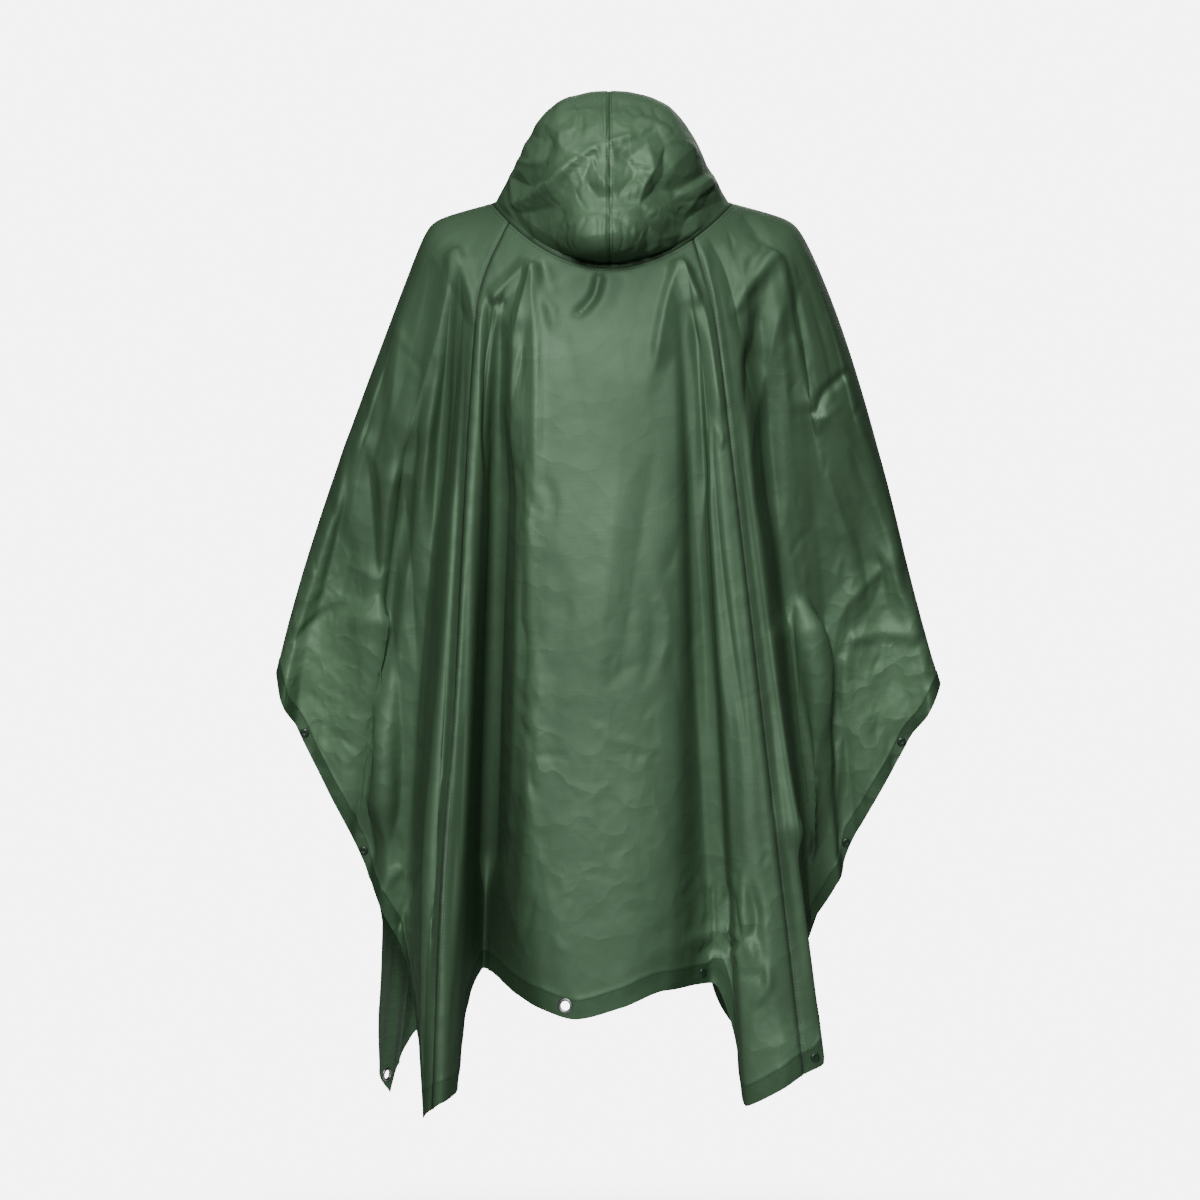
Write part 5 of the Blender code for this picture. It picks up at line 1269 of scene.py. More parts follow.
def panel_grid(first, last, columns, rows, sizes):
    """Columns and stations of a panel's fine grid, and how a step down a column counts across its hem."""
    start, end = row_of(first), row_of(last)
    end += len(FEET) * (end <= start)
    reached = np.append(FOOT_CURVE.reached, FOOT_CURVE.reached[1:] + FOOT_CURVE.reached[-1])
    place = np.linspace(reached[start], reached[end], columns + 1)
    near = SPACING_BESIDE_SEAM
    place = np.concatenate([place[:1], place[0] + near, place[1:-1], place[-1] - near[::-1], place[-1:]])
    u = np.interp(place, reached, np.arange(len(reached)))
    along = unit(cloth_middle(u + NUDGE_U, 1) - cloth_middle(u - NUDGE_U, 1))
    falling = unit(cloth_middle(u, 1) - cloth_middle(u, SLANT_FROM))
    square = np.clip(np.linalg.norm(np.cross(along, falling), axis=-1), LEAST_SQUARE, 1)
    kernel = np.ones(SLANT_COLUMNS) / SLANT_COLUMNS
    square = np.convolve(np.pad(square, SLANT_COLUMNS // 2, mode="edge"), kernel, mode="valid")
    hem = hem_width(u, sizes)
    _, _, yoke, fall = column_lengths(FOOT_CURVE.at(u))
    length = yoke + fall
    from_foot = HEM_SHARES[:, None] * hem / square
    rows_between = rows + 1 - len(HEM_SHARES) - len(SPACING_BELOW_NECK)
    middle = np.linspace(0, 1, rows_between + 2)[1:-1, None]
    top, bottom = SPACING_BELOW_NECK[-1], length - from_foot[-1]
    from_neck = np.broadcast_to(SPACING_BELOW_NECK[:, None], (len(SPACING_BELOW_NECK), len(u)))
    stations = np.concatenate([from_neck, top + (bottom - top) * middle, length - from_foot[::-1]]) / length
    return place, np.broadcast_to(u, stations.shape), stations, square, hem


def turned_up(share, edge, blend):
    """1 on a hem's folded layer and 0 beyond it, at shares of its width from the rim."""
    return 1 - smoothstep((share - edge) / blend)


def facing_share(normal, least, whole):
    """How much of their height the creases keep where the cloth faces the way of its normal."""
    return least + (1 - least) * smoothstep(np.abs(normal[..., 1]) / whole)


def shape_panel(name, first, last, columns, rows, sizes):
    """A panel's finished grid of points, its normals, its distances across and down the cloth, and
    how far each point belongs to the hem, to crinkled cloth (painted light) and to a seam's crease (painted
    shade)."""
    place, u, v, square, hem = panel_grid(first, last, columns, rows, sizes)
    points, normal = cloth_middle(u, v), cloth_normal(u, v)
    across, down = measured(points, 1), measured(points, 0)
    to_seam = np.minimum(across, across[:, -1:] - across)
    to_rim = (down[-1:] - down) * square
    hang_deg = np.abs((FOOT_CURVE.at(u[0])[:, HANG] + 180) % 360 - 180)
    back_share = smoothstep((FRONT_DEG - hang_deg) / FRONT_BLEND_DEG)
    points = evened(points, to_seam)
    free = smoothstep(to_seam / SEAM_CALM)[..., None]
    normal = unit(grid_normals(points, normal) * free + normal * (1 - free))

    height = creased(points, back_share) * sizes.creasing
    height *= smoothstep(down / CALM_NEAR_NECK) * facing_share(normal, *PANEL_EDGE_ON)
    height += sizes.ripple * waves(place, *PANEL_RIPPLE) * bell(to_rim, RIPPLE_REACH)
    height += sizes.pucker * waves(down, *PANEL_PUCKER) * bell(to_seam, PUCKER_REACH)
    height -= sizes.seam_dip * (bell(to_seam, SEAM_FADE) + bell(down, SEAM_FADE))
    if name.startswith("side"):
        room = ROOM_USED * np.maximum(np.abs(points[..., 1]) - LEAST_ROOM, 0)
        height = np.maximum(height, -room / np.maximum(np.abs(normal[..., 1]), LEAST_FACING))
    folded = turned_up(to_rim / hem, *HEM_EDGE)
    points = points + normal * (height + sizes.hem_step * folded)[..., None]
    seats = [fastening_seat(node) for node in FASTENINGS[name]]
    points = flattened(points, normal, seats)
    hold_back(points, 0, 1)
    hold_back(points, -1, -2)
    return {
        "points": points,
        "normal": grid_normals(points, normal),
        "across": across,
        "down": down,
        "thickness": sizes.thickness,
        "hem": folded,
        # how crinkled the cloth is, which also paints it paler as painted light
        "crinkle_and_painted_light": crinkled(points, CRINKLED),
        # painted shade along the seams' creases
        "seam": bell(np.minimum(to_seam, down), PAINTED_SEAM_SHADE),
        "holes": seats[:1] if name in WITH_EYELETS else [],
    }


def hood_grid(side, columns, rows):
    """The hood's middle wall and normals on one side, from the brow (first row) to the nape and from
    the neck seam (first column) to its middle seam."""
    steps = np.linspace(0, 1, rows + 1)
    climbs = np.concatenate([np.linspace(0, 1, columns + 1)[:-1], [LAST_CLIMB, 1.0]])
    along, climbed = np.meshgrid(steps, climbs, indexing="ij")
    middle, normal = hood_middle(side, along, climbed), hood_normal(side, along, climbed)
    middle[:, -1, 0] = side * SEAM_GAP / 2
    normal[:, -1, 0] = 0
    normal = unit(normal)
    side_deg = side * (HOOD_FRONT_DEG + (HOOD_NAPE_DEG - HOOD_FRONT_DEG) * steps)
    nape_deg = side * HOOD_NAPE_DEG * np.append(HOOD_CORNER, HOOD_CORNER * HOOD_CORNER * (1 - climbs))
    side_top, side_up, side_normal = seam_edge(side_deg)
    nape_top, nape_up, nape_normal = seam_edge(nape_deg)
    nape_top[-1, 0] = side * SEAM_GAP / 2
    side_edge, nape_edge = side_top - side_up * HOOD_TUCK, nape_top - nape_up * HOOD_TUCK
    middle = np.concatenate([side_edge[:, None], middle], axis=1)
    normal[:, 0] = unit(normal[:, 0] + side_normal)
    normal[-1] = unit(normal[-1] + nape_normal[1:])
    normal = np.concatenate([side_normal[:, None], normal], axis=1)
    middle = np.concatenate([middle, nape_edge[None]], axis=0)
    normal = np.concatenate([normal, nape_normal[None]], axis=0)
    normal[:, -1, 0] = 0
    return middle, unit(normal)


def shape_hood(side, columns, rows, sizes):
    """The finished grid of one side of the hood, with what shape_panel gives for a panel."""
    points, normal = hood_grid(side, columns, rows)
    from_neck, from_brow = measured(points, 1), measured(points, 0)
    to_nape = from_brow[-1:] - from_brow
    to_middle = from_neck[:, -1:] - from_neck
    front_facing, blend = HOOD_FACING
    back_share = smoothstep((normal[..., 1] - front_facing) / blend)
    height = creased(points, back_share, hood=True) * sizes.creasing
    height *= facing_share(normal, *HOOD_EDGE_ON)
    height *= smoothstep(from_neck / CALM_NEAR_NECK) * smoothstep(to_nape / CALM_NEAR_NECK)
    height += sizes.pucker * waves(from_brow, *HOOD_PUCKER) * bell(to_middle, PUCKER_REACH)
    height -= sizes.seam_dip * bell(to_middle, SEAM_FADE)
    height += sizes.ripple * waves(from_neck, *HOOD_RIPPLE) * bell(from_brow, RIPPLE_REACH)
    folded = turned_up(from_brow / sizes.brow_hem, *BROW_EDGE)
    points = points + normal * (height + sizes.hem_step * folded)[..., None]
    points[:, -1, 0] = side * SEAM_GAP / 2
    facing = grid_normals(points, normal)
    facing[:, -1, 0] = 0
    return {
        "points": points,
        "normal": unit(facing),
        "across": from_neck,
        "down": from_brow,
        "thickness": sizes.thickness,
        "hem": folded,
        # how crinkled the cloth is, which also paints it paler as painted light
        "crinkle_and_painted_light": crinkled(points, HOOD_CRINKLED),
        # painted shade along the middle seam and the neck seam
        "seam": np.maximum(bell(to_middle, MIDDLE_PAINTED_SEAM_SHADE), bell(from_neck, PAINTED_SEAM_SHADE)),
        "holes": [],
    }


def cut_holes(grid, skins):
    """Which cells of a grid are left when its holes are cut. In both skins, the points round a hole
    are moved onto its edge."""
    points = grid["points"]
    rows, columns = points.shape[:2]
    middle = (points[1:, 1:] + points[:-1, 1:] + points[1:, :-1] + points[:-1, :-1]) / 4
    kept = np.ones((rows - 1, columns - 1), bool)
    for centre, axis in grid["holes"]:
        inside = np.linalg.norm(middle - centre, axis=-1) < EYELET_HOLE
        kept &= ~inside
        ring = np.zeros((rows, columns), bool)
        for down in (0, 1):
            for across in (0, 1):
                ring[down : rows - 1 + down, across : columns - 1 + across] |= inside
        for skin in skins:
            offset = skin[ring] - centre
            out = (offset @ axis)[:, None] * axis
            skin[ring] = centre + out + unit(offset - out) * EYELET_HOLE
    return kept


def shell(name, grid, materials):
    """A closed wall of cloth round a grid of points: outer face, inner face and the edges between."""
    outer = outer_face(grid)
    inner = grid["points"] - grid["normal"] * grid["thickness"] / 2
    kept = cut_holes(grid, (outer, inner))
    shape = outer.shape[:2]
    count = shape[0] * shape[1]
    number = np.arange(count).reshape(shape)
    cells = [number[:-1, :-1], number[1:, :-1], number[1:, 1:], number[:-1, 1:]]
    top_faces = np.stack(cells, axis=-1)[kept]
    seen = dict.fromkeys((face[i], face[(i + 1) % 4]) for face in top_faces.tolist() for i in range(4))
    rim_faces = [(b, a, a + count, b + count) for a, b in seen if (b, a) not in seen]
    vertices = np.concatenate([outer.reshape(-1, 3), inner.reshape(-1, 3)])
    faces = np.concatenate([top_faces, top_faces[:, ::-1] + count, rim_faces])
    used = np.zeros(len(vertices), bool)
    used[faces.ravel()] = True
    renumber = np.cumsum(used) - 1
    data = bpy.data.meshes.new(name)
    data.from_pydata(vertices[used].tolist(), [], renumber[faces].tolist())
    skins = np.repeat([0, 1, 0], [len(top_faces), len(top_faces), len(rim_faces)])
    data.polygons.foreach_set("material_index", skins.astype(np.int32))
    for each in materials:
        data.materials.append(each)

    def at_vertices(value):
        return np.tile(np.broadcast_to(grid[value], shape).ravel(), 2)[used].astype(np.float32)

    # a map of the cloth laid flat, in metres across and down it
    laid_flat = np.stack([at_vertices("across"), at_vertices("down")], axis=-1)
    corners = laid_flat[renumber[faces.ravel()]]
    data.uv_layers.new(name="cloth").data.foreach_set("uv", corners.ravel())
    for layer in ("hem", "crinkle_and_painted_light", "seam"):
        data.attributes.new(layer, "FLOAT", "POINT").data.foreach_set("value", at_vertices(layer))
    return closed_piece(name, data, CLOTH_SHARP_DEG)


def outer_face(grid):
    """The points of a grid, moved out to the cloth's outer face."""
    return grid["points"] + grid["normal"] * grid["thickness"] / 2


def placed(name, data):
    """A new object of the scene."""
    made = bpy.data.objects.new(name, data)
    bpy.context.scene.collection.objects.link(made)
    return made


def closed_piece(name, data, sharp_deg):
    """A piece whose faces are turned outwards, shaded smooth but for edges sharper than sharp_deg."""
    mesh = bmesh.new()
    mesh.from_mesh(data)
    if mesh.calc_volume(signed=True) < 0:
        bmesh.ops.reverse_faces(mesh, faces=mesh.faces)
        mesh.to_mesh(data)
    mesh.free()
    data.shade_smooth()
    data.set_sharp_from_angle(angle=math.radians(sharp_deg))
    return placed(name, data)


def declare(piece, node):
    """Stands the piece in for its solid: hangs it from the root and hides the solid."""
    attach(piece, "root")
    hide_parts(node)


# ---------------------------------------------------------------------------------------------------
# Materials
# ---------------------------------------------------------------------------------------------------


def add_node(tree, kind, inputs=None, **settings):
    """Adds a node with its settings. Its inputs are values, or the sockets that feed them."""
    added = tree.nodes.new(kind)
    for name, value in settings.items():
        setattr(added, name, value)
    for socket, value in (inputs or {}).items():
        if isinstance(value, bpy.types.NodeSocket):
            tree.links.new(value, added.inputs[socket])
        else:
            added.inputs[socket].default_value = value
    return added


def material(name, wire, sizes):
    """The material of this name. wire adds its nodes the first time, and gives its shader."""
    made = bpy.data.materials.get(name)
    if made is None:
        made = bpy.data.materials.new(name)
        made.use_nodes = True
        made.node_tree.nodes.clear()
        shader = wire(made.node_tree, sizes)
        add_node(made.node_tree, "ShaderNodeOutputMaterial", {"Surface": shader.outputs[0]})
    return made


def object_place(tree):
    return add_node(tree, "ShaderNodeTexCoord").outputs["Object"]


def noise(tree, place, scale, detail):
    return add_node(tree, "ShaderNodeTexNoise", {"Vector": place, "Scale": scale, "Detail": detail})


def yarn(tree, place, scale):
    """Noise that is drawn out into threads along the axes whose scale is low."""
    drawn = add_node(tree, "ShaderNodeMapping", {"Vector": place, "Scale": scale})
    return noise(tree, drawn.outputs[0], 1.0, 1.0).outputs["Fac"]


def opaque(colour, share=1):
    """This share of a colour's brightness, with an alpha of 1."""
    return (*(min(share * x, 1) for x in colour), 1)


def ramp(tree, fac, stops):
    """A colour ramp through (place, colour) stops."""
    node = add_node(tree, "ShaderNodeValToRGB", {"Fac": fac})
    while len(node.color_ramp.elements) < len(stops):
        node.color_ramp.elements.new(0.5)
    for element, (place, colour) in zip(node.color_ramp.elements, stops):
        element.position, element.color = place, colour
    return node.outputs["Color"]


def mixed(tree, share, first, second):
    """A mix of two colours. The Mix node has a set of sockets for each data type: 6 and 7 are colours."""
    mix = add_node(tree, "ShaderNodeMix", {0: share, 6: first, 7: second}, data_type="RGBA")
    return mix.outputs[2]


def bumped(tree, height, strength, distance, below=None):
    """Normals roughened by a height, over the ones below."""
    inputs = {"Height": height, "Strength": strength, "Distance": distance}
    if below is not None:
        inputs["Normal"] = below
    return add_node(tree, "ShaderNodeBump", inputs).outputs[0]


# Threads of the nylon: thick places in the yarn, about 1.5 mm apart and 25 mm long, drawn coarse
WEFT = (40.0, 40.0, 650.0)
WARP = (650.0, 650.0, 40.0)


def coated_nylon(tree, sizes):
    """Tightly woven nylon with a clear coating on its outer face: a satin gleam that is broad and soft,
    a faint grid of thick threads, and a skin of fine crackle where the cloth has been folded."""
    place = object_place(tree)
    hem, crinkle_and_painted_light, seam = (
        add_node(tree, "ShaderNodeAttribute", attribute_name=name).outputs["Fac"]
        for name in ("hem", "crinkle_and_painted_light", "seam")
    )
    # cloudy patches 0.1 to 0.2 m across where the coating is duller
    clouds = add_node(
        tree, "ShaderNodeTexNoise", {"Vector": place, "Scale": 7.0, "Detail": 3.0, "Roughness": 0.55}
    ).outputs["Fac"]
    body = ramp(tree, clouds, [(0.35, opaque(sizes.shade)), (0.62, opaque(sizes.outside))])
    # crinkled cloth is painted paler, a painted highlight, and the seams' creases get painted shade
    painted_light_bloom = mixed(tree, crinkle_and_painted_light, body, opaque(sizes.outside, 1.6))
    hemmed = mixed(tree, hem, painted_light_bloom, opaque(sizes.hem_green))
    # painted shade: the seams' creases darkened to 0.35 of the hem's green
    colour = mixed(tree, seam, hemmed, opaque(sizes.hem_green, 0.35))
    # facets 20 to 50 mm across where the cloth is crinkled, and a fine crackle all over
    warp = noise(tree, place, 22.0, 2.0).outputs["Color"]
    bent = add_node(tree, "ShaderNodeVectorMath", {0: warp, 1: (0.05, 0.05, 0.05)}, operation="MULTIPLY")
    crossed = add_node(tree, "ShaderNodeVectorMath", {0: place, 1: bent.outputs[0]}, operation="ADD")
    facets = add_node(
        tree,
        "ShaderNodeTexVoronoi",
        {"Vector": crossed.outputs[0], "Scale": 26.0, "Randomness": 1.0},
        feature="F1",
    ).outputs["Distance"]
    facet_height = add_node(tree, "ShaderNodeMath", {0: facets, 1: crinkle_and_painted_light}, operation="MULTIPLY")
    crackle = add_node(
        tree,
        "ShaderNodeTexNoise",
        {"Vector": place, "Scale": 30.0, "Detail": 4.0, "Roughness": 0.55, "Distortion": 0.6},
        noise_type="RIDGED_MULTIFRACTAL",
    )
    weft, warp_threads = yarn(tree, place, WEFT), yarn(tree, place, WARP)
    threads = add_node(tree, "ShaderNodeMath", {0: weft, 1: warp_threads}, operation="ADD")
    normal = bumped(tree, facet_height.outputs[0], 0.5, 0.012)
    normal = bumped(tree, crackle.outputs["Fac"], 0.18, 0.0012, normal)
    normal = bumped(tree, threads.outputs[0], 0.20, 0.0003, normal)
    rough = add_node(
        tree,
        "ShaderNodeMapRange",
        {"Value": clouds, "From Min": 0.3, "From Max": 0.7, "To Min": 0.62, "To Max": 0.54},
    )
    # the small facets of crinkled cloth scatter the gleam
    gleam = add_node(tree, "ShaderNodeMapRange", {"Value": crinkle_and_painted_light, "To Min": 0.42, "To Max": 0.12})
    return add_node(
        tree,
        "ShaderNodeBsdfPrincipled",
        {
            "Base Color": colour,
            "Roughness": rough.outputs[0],
            "Metallic": gleam.outputs[0],
            "IOR": 1.5,
            "Specular IOR Level": 0.5,
            "Normal": normal,
        },
    )


def uncoated_nylon(tree, sizes):
    """The inner face of the same cloth, bare of coating: dull, a little darker, threads just visible."""
    weft = yarn(tree, object_place(tree), WEFT)
    colour = ramp(tree, weft, [(0.3, opaque(sizes.inside, 0.75)), (0.7, opaque(sizes.inside))])
    normal = bumped(tree, weft, 0.3, 0.0003)
    return add_node(
        tree,
        "ShaderNodeBsdfPrincipled",
        {"Base Color": colour, "Roughness": 0.72, "Sheen Weight": 0.1, "Normal": normal},
    )


def sewing_thread(tree, sizes):
    """Spun polyester thread: dull, with a fine twist about 0.8 mm long."""
    twist = noise(tree, object_place(tree), 1200.0, 1.0).outputs["Fac"]
    green = sizes.thread_green
    colour = ramp(tree, twist, [(0.35, opaque(green, 0.6)), (0.65, opaque(green))])
    return add_node(tree, "ShaderNodeBsdfPrincipled", {"Base Color": colour, "Roughness": 0.6})


def lacquered_brass(tree, sizes):
    """Pressed brass under dark green lacquer: a semi-gloss skin with paler worn spots."""
    wear = noise(tree, object_place(tree), 900.0, 3.0).outputs["Fac"]
    colour = ramp(tree, wear, [(0.45, opaque(sizes.lacquer)), (0.75, opaque(sizes.lacquer, 1.6))])
    rough = add_node(tree, "ShaderNodeMapRange", {"Value": wear, "To Min": 0.28, "To Max": 0.45})
    return add_node(
        tree,
        "ShaderNodeBsdfPrincipled",
        {"Base Color": colour, "Roughness": rough.outputs[0], "Metallic": 0.0, "Coat Weight": 0.4},
    )


def dulled_aluminium(tree, sizes):
    """Rolled aluminium gone dull: soft reflections and small dark spots."""
    spots = noise(tree, object_place(tree), 700.0, 3.0).outputs["Fac"]
    colour = ramp(tree, spots, [(0.35, opaque(sizes.metal, 0.6)), (0.65, opaque(sizes.metal))])
    rough = add_node(tree, "ShaderNodeMapRange", {"Value": spots, "To Min": 0.32, "To Max": 0.5})
    return add_node(
        tree,
        "ShaderNodeBsdfPrincipled",
        {"Base Color": colour, "Roughness": rough.outputs[0], "Metallic": 1.0},
    )


def studio_floor(tree, sizes):
    """Paper that thins out into the backdrop, so no line shows where the floor ends."""
    place = object_place(tree)
    grain = noise(tree, place, 3.0, 2.0).outputs["Fac"]
    colour = ramp(tree, grain, [(0.3, opaque(sizes.backdrop, 0.97)), (0.7, opaque(sizes.backdrop))])
    paper = add_node(tree, "ShaderNodeBsdfPrincipled", {"Base Color": colour, "Roughness": 0.9})
    flat = add_node(tree, "ShaderNodeVectorMath", {0: place, 1: (1, 1, 0)}, operation="MULTIPLY")
    away = add_node(tree, "ShaderNodeVectorMath", {0: flat.outputs[0]}, operation="LENGTH")
    fading = add_node(
        tree,
        "ShaderNodeMapRange",
        {"Value": away.outputs["Value"], "From Min": 0.4, "From Max": 1.5},
        interpolation_type="SMOOTHSTEP",
    )
    clear = add_node(tree, "ShaderNodeBsdfTransparent")
    ends = {0: fading.outputs[0], 1: paper.outputs[0], 2: clear.outputs[0]}
    return add_node(tree, "ShaderNodeMixShader", ends)


# ---------------------------------------------------------------------------------------------------
# Stitches, press studs and eyelets
# ---------------------------------------------------------------------------------------------------

STUD_TOP = 0.00305  # the top of a press stud's cap over the middle of the cloth
STUD_NODES = [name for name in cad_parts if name.startswith("stud")]
EYELET_NODES = ("eyelet_back", "eyelet_front_corner")
FASTENINGS = {
    "back_panel": ["eyelet_back", "stud_back_hem"],
    "front_panel": [],
    "side_panel_left": ["eyelet_front_corner"] + [name for name in STUD_NODES if "_left_" in name],
    "side_panel_right": [name for name in STUD_NODES if "_right_" in name] + ["stud_back_corner"],
}
WITH_EYELETS = ("back_panel", "side_panel_left")  # each has its eyelet first
LATHE_SIDES = 40
DOUBLES = 0.00001

THREAD_LIFT = 0.15  # share of the thread's thickness by which its middle lies over the cloth
BROW_STITCH = 0.018  # from the brow's edge
NECK_STITCH_ROW = 3
# The stretches of the lines beside seams that are sewn
BESIDE_PANEL = slice(3, None)
BESIDE_NECK = slice(2, -2)
BESIDE_MIDDLE = slice(4, -6)


def beside(grid, distance, far=False):
    """A line over a grid at a distance from its first or last column."""
    line = []
    for points, across in zip(outer_face(grid), grid["across"]):
        at = across[-1] - distance if far else distance
        line.append([np.interp(at, across, points[:, i]) for i in range(3)])
    return np.array(line)


def stitch_lines(trim):
    """The lines that the stitching follows."""
    lines = []
    for name, grid in finished.items():
        lifted = outer_face(grid) + grid["normal"] * trim.thread * THREAD_LIFT
        first, last = beside(grid, trim.seam_stitch), beside(grid, trim.seam_stitch, far=True)
        if name.startswith("hood"):
            middle_column = grid["down"][:, grid["down"].shape[1] // 2]
            row = np.abs(middle_column - BROW_STITCH).argmin()
            lines += [lifted[row], last[BESIDE_MIDDLE], first[BESIDE_NECK]]
        else:
            lines += [lifted[-1 - HEM_STITCH_ROW], first[BESIDE_PANEL], last[BESIDE_PANEL]]
            lines.append(lifted[NECK_STITCH_ROW])
    return lines


def stitch_tree():
    """A node tree that lays stitches end to end along the edges of a mesh."""
    tree = bpy.data.node_groups.new("row_of_stitches", "GeometryNodeTree")
    face = tree.interface
    face.new_socket("Geometry", in_out="INPUT", socket_type="NodeSocketGeometry")
    for name, default in (("Pitch", 0.004), ("Length", 0.003), ("Thickness", 0.0007)):
        face.new_socket(name, in_out="INPUT", socket_type="NodeSocketFloat").default_value = default
    face.new_socket("Material", in_out="INPUT", socket_type="NodeSocketMaterial")
    face.new_socket("Geometry", in_out="OUTPUT", socket_type="NodeSocketGeometry")
    given = add_node(tree, "NodeGroupInput").outputs
    curve = add_node(tree, "GeometryNodeMeshToCurve", {"Mesh": given["Geometry"]})
    spaced = add_node(
        tree,
        "GeometryNodeResampleCurve",
        {"Curve": curve.outputs[0], "Length": given["Pitch"]},
        mode="LENGTH",
    )
    bead = add_node(tree, "GeometryNodeMeshUVSphere", {"Segments": 5, "Rings": 4, "Radius": 0.5})
    shape = add_node(
        tree,
        "ShaderNodeCombineXYZ",
        {"X": given["Thickness"], "Y": given["Thickness"], "Z": given["Length"]},
    )
    stitch = add_node(
        tree, "GeometryNodeTransform", {"Geometry": bead.outputs["Mesh"], "Scale": shape.outputs[0]}
    )
    along = add_node(tree, "GeometryNodeInputTangent")
    turn = add_node(tree, "FunctionNodeAlignRotationToVector", {"Vector": along.outputs[0]}, axis="Z")
    laid = add_node(
        tree,
        "GeometryNodeInstanceOnPoints",
        {"Points": spaced.outputs[0], "Instance": stitch.outputs[0], "Rotation": turn.outputs[0]},
    )
    whole = add_node(tree, "GeometryNodeRealizeInstances", {"Geometry": laid.outputs[0]})
    smooth = add_node(tree, "GeometryNodeSetShadeSmooth", {"Geometry": whole.outputs[0]})
    painted = add_node(
        tree,
        "GeometryNodeSetMaterial",
        {"Geometry": smooth.outputs[0], "Material": given["Material"]},
    )
    add_node(tree, "NodeGroupOutput", {"Geometry": painted.outputs[0]})
    return tree


def lathe(name, profile, centre, axis, closed):
    """A solid turned round an axis from (radius, height) points, listed from the top down."""
    mesh = bmesh.new()
    points = [mesh.verts.new((radius, 0, height)) for radius, height in profile]
    edges = [mesh.edges.new(pair) for pair in zip(points, points[1:])]
    if closed:
        edges.append(mesh.edges.new((points[-1], points[0])))
    bmesh.ops.spin(
        mesh,
        geom=points + edges,
        cent=(0, 0, 0),
        axis=(0, 0, 1),
        angle=2 * math.pi,
        steps=LATHE_SIDES,
        use_merge=True,
    )
    bmesh.ops.remove_doubles(mesh, verts=mesh.verts, dist=DOUBLES)
    bmesh.ops.recalc_face_normals(mesh, faces=mesh.faces)
    turn = Vector((0, 0, 1)).rotation_difference(Vector(axis)).to_matrix().to_4x4()
    bmesh.ops.transform(mesh, matrix=Matrix.Translation(Vector(centre)) @ turn, verts=mesh.verts)
    data = bpy.data.meshes.new(name)
    mesh.to_mesh(data)
    mesh.free()
    return closed_piece(name, data, METAL_SHARP_DEG)


# Radius and height of each section's points, over the middle of the cloth. A press stud's section is
# its domed cap and post, and then a ball or a socket on the inside.
CAP_SECTION = (
    (0.0, STUD_TOP - 0.00042),
    (0.0014, STUD_TOP - 0.00038),
    (0.0024, STUD_TOP - 0.00010),
    (0.0031, STUD_TOP),
    (0.0040, STUD_TOP - 0.00012),
    (0.0048, STUD_TOP - 0.00055),
    (0.0053, STUD_TOP - 0.00115),
    (0.0055, STUD_TOP - 0.00170),
    (0.00545, 0.00075),
    (0.0052, 0.00050),
    (0.0018, 0.00050),
    (0.0018, -0.00115),
    (0.0040, -0.00115),
    (0.0042, -0.00130),
    (0.0042, -0.00140),
)
BALL_SECTION = (
    (0.0041, -0.00155),
    (0.0017, -0.00155),
    (0.0019, -0.00185),
    (0.0017, -0.00225),
    (0.0, -0.00235),
)
SOCKET_SECTION = (
    (0.0042, -0.00180),
    (0.0038, -0.00195),
    (0.0027, -0.00195),
    (0.0025, -0.00180),
    (0.0025, -0.00140),
    (0.0, -0.00140),
)


# Rolled flanges on both faces of the cloth, joined by the barrel
EYELET_HALF = (
    (0.0054, 0.00060),
    (0.00565, 0.00135),
    (0.0061, 0.00185),
    (0.0070, 0.00215),
    (0.0078, 0.00205),
    (0.0086, 0.00150),
    (0.0090, 0.00085),
    (0.0089, 0.00050),
    (0.0060, 0.00050),
)
EYELET_SECTION = EYELET_HALF + tuple((radius, -height) for radius, height in reversed(EYELET_HALF))


# ---------------------------------------------------------------------------------------------------
# Operators
# ---------------------------------------------------------------------------------------------------


def dress(name, grid):
    """Makes the cloth of a finished grid, and stands it in for the solid of that name."""
    sizes = bpy.context.scene.poncho_cloth
    outside = material("coated_nylon_taffeta", coated_nylon, sizes)
    inside = material("uncoated_nylon_inside", uncoated_nylon, sizes)
    declare(shell("cloth_" + name, grid, (outside, inside)), name)
    finished[name] = grid


def make_panel(name, first, last, columns, rows):
    dress(name, shape_panel(name, first, last, columns, rows, bpy.context.scene.poncho_cloth))


class PONCHO_OT_back_panel(bpy.types.Operator):
    """Make the back panel, with its hem and its creases"""

    bl_idname = "poncho.back_panel"
    bl_label = "Back panel"

    def execute(self, context):
        make_panel("back_panel", "back_seam_right", "back_seam_left", *BACK_GRID)
        return {"FINISHED"}


class PONCHO_OT_side_panels(bpy.types.Operator):
    """Make the side panels, which hang from the shoulders and over the wrists"""

    bl_idname = "poncho.side_panels"
    bl_label = "Side panels"

    def execute(self, context):
        make_panel("side_panel_left", "back_seam_left", "front_seam_left", *SIDE_GRID)
        make_panel("side_panel_right", "front_seam_right", "back_seam_right", *SIDE_GRID)
        return {"FINISHED"}


class PONCHO_OT_front_panel(bpy.types.Operator):
    """Make the front panel"""

    bl_idname = "poncho.front_panel"
    bl_label = "Front panel"

    def execute(self, context):
        make_panel("front_panel", "front_seam_left", "front_seam_right", *FRONT_GRID)
        return {"FINISHED"}


class PONCHO_OT_hood(bpy.types.Operator):
    """Make the two halves of the hood"""

    bl_idname = "poncho.hood"
    bl_label = "Hood"

    def execute(self, context):
        for name, side in (("hood_left", 1), ("hood_right", -1)):
            dress(name, shape_hood(side, *HOOD_GRID, context.scene.poncho_cloth))
        return {"FINISHED"}


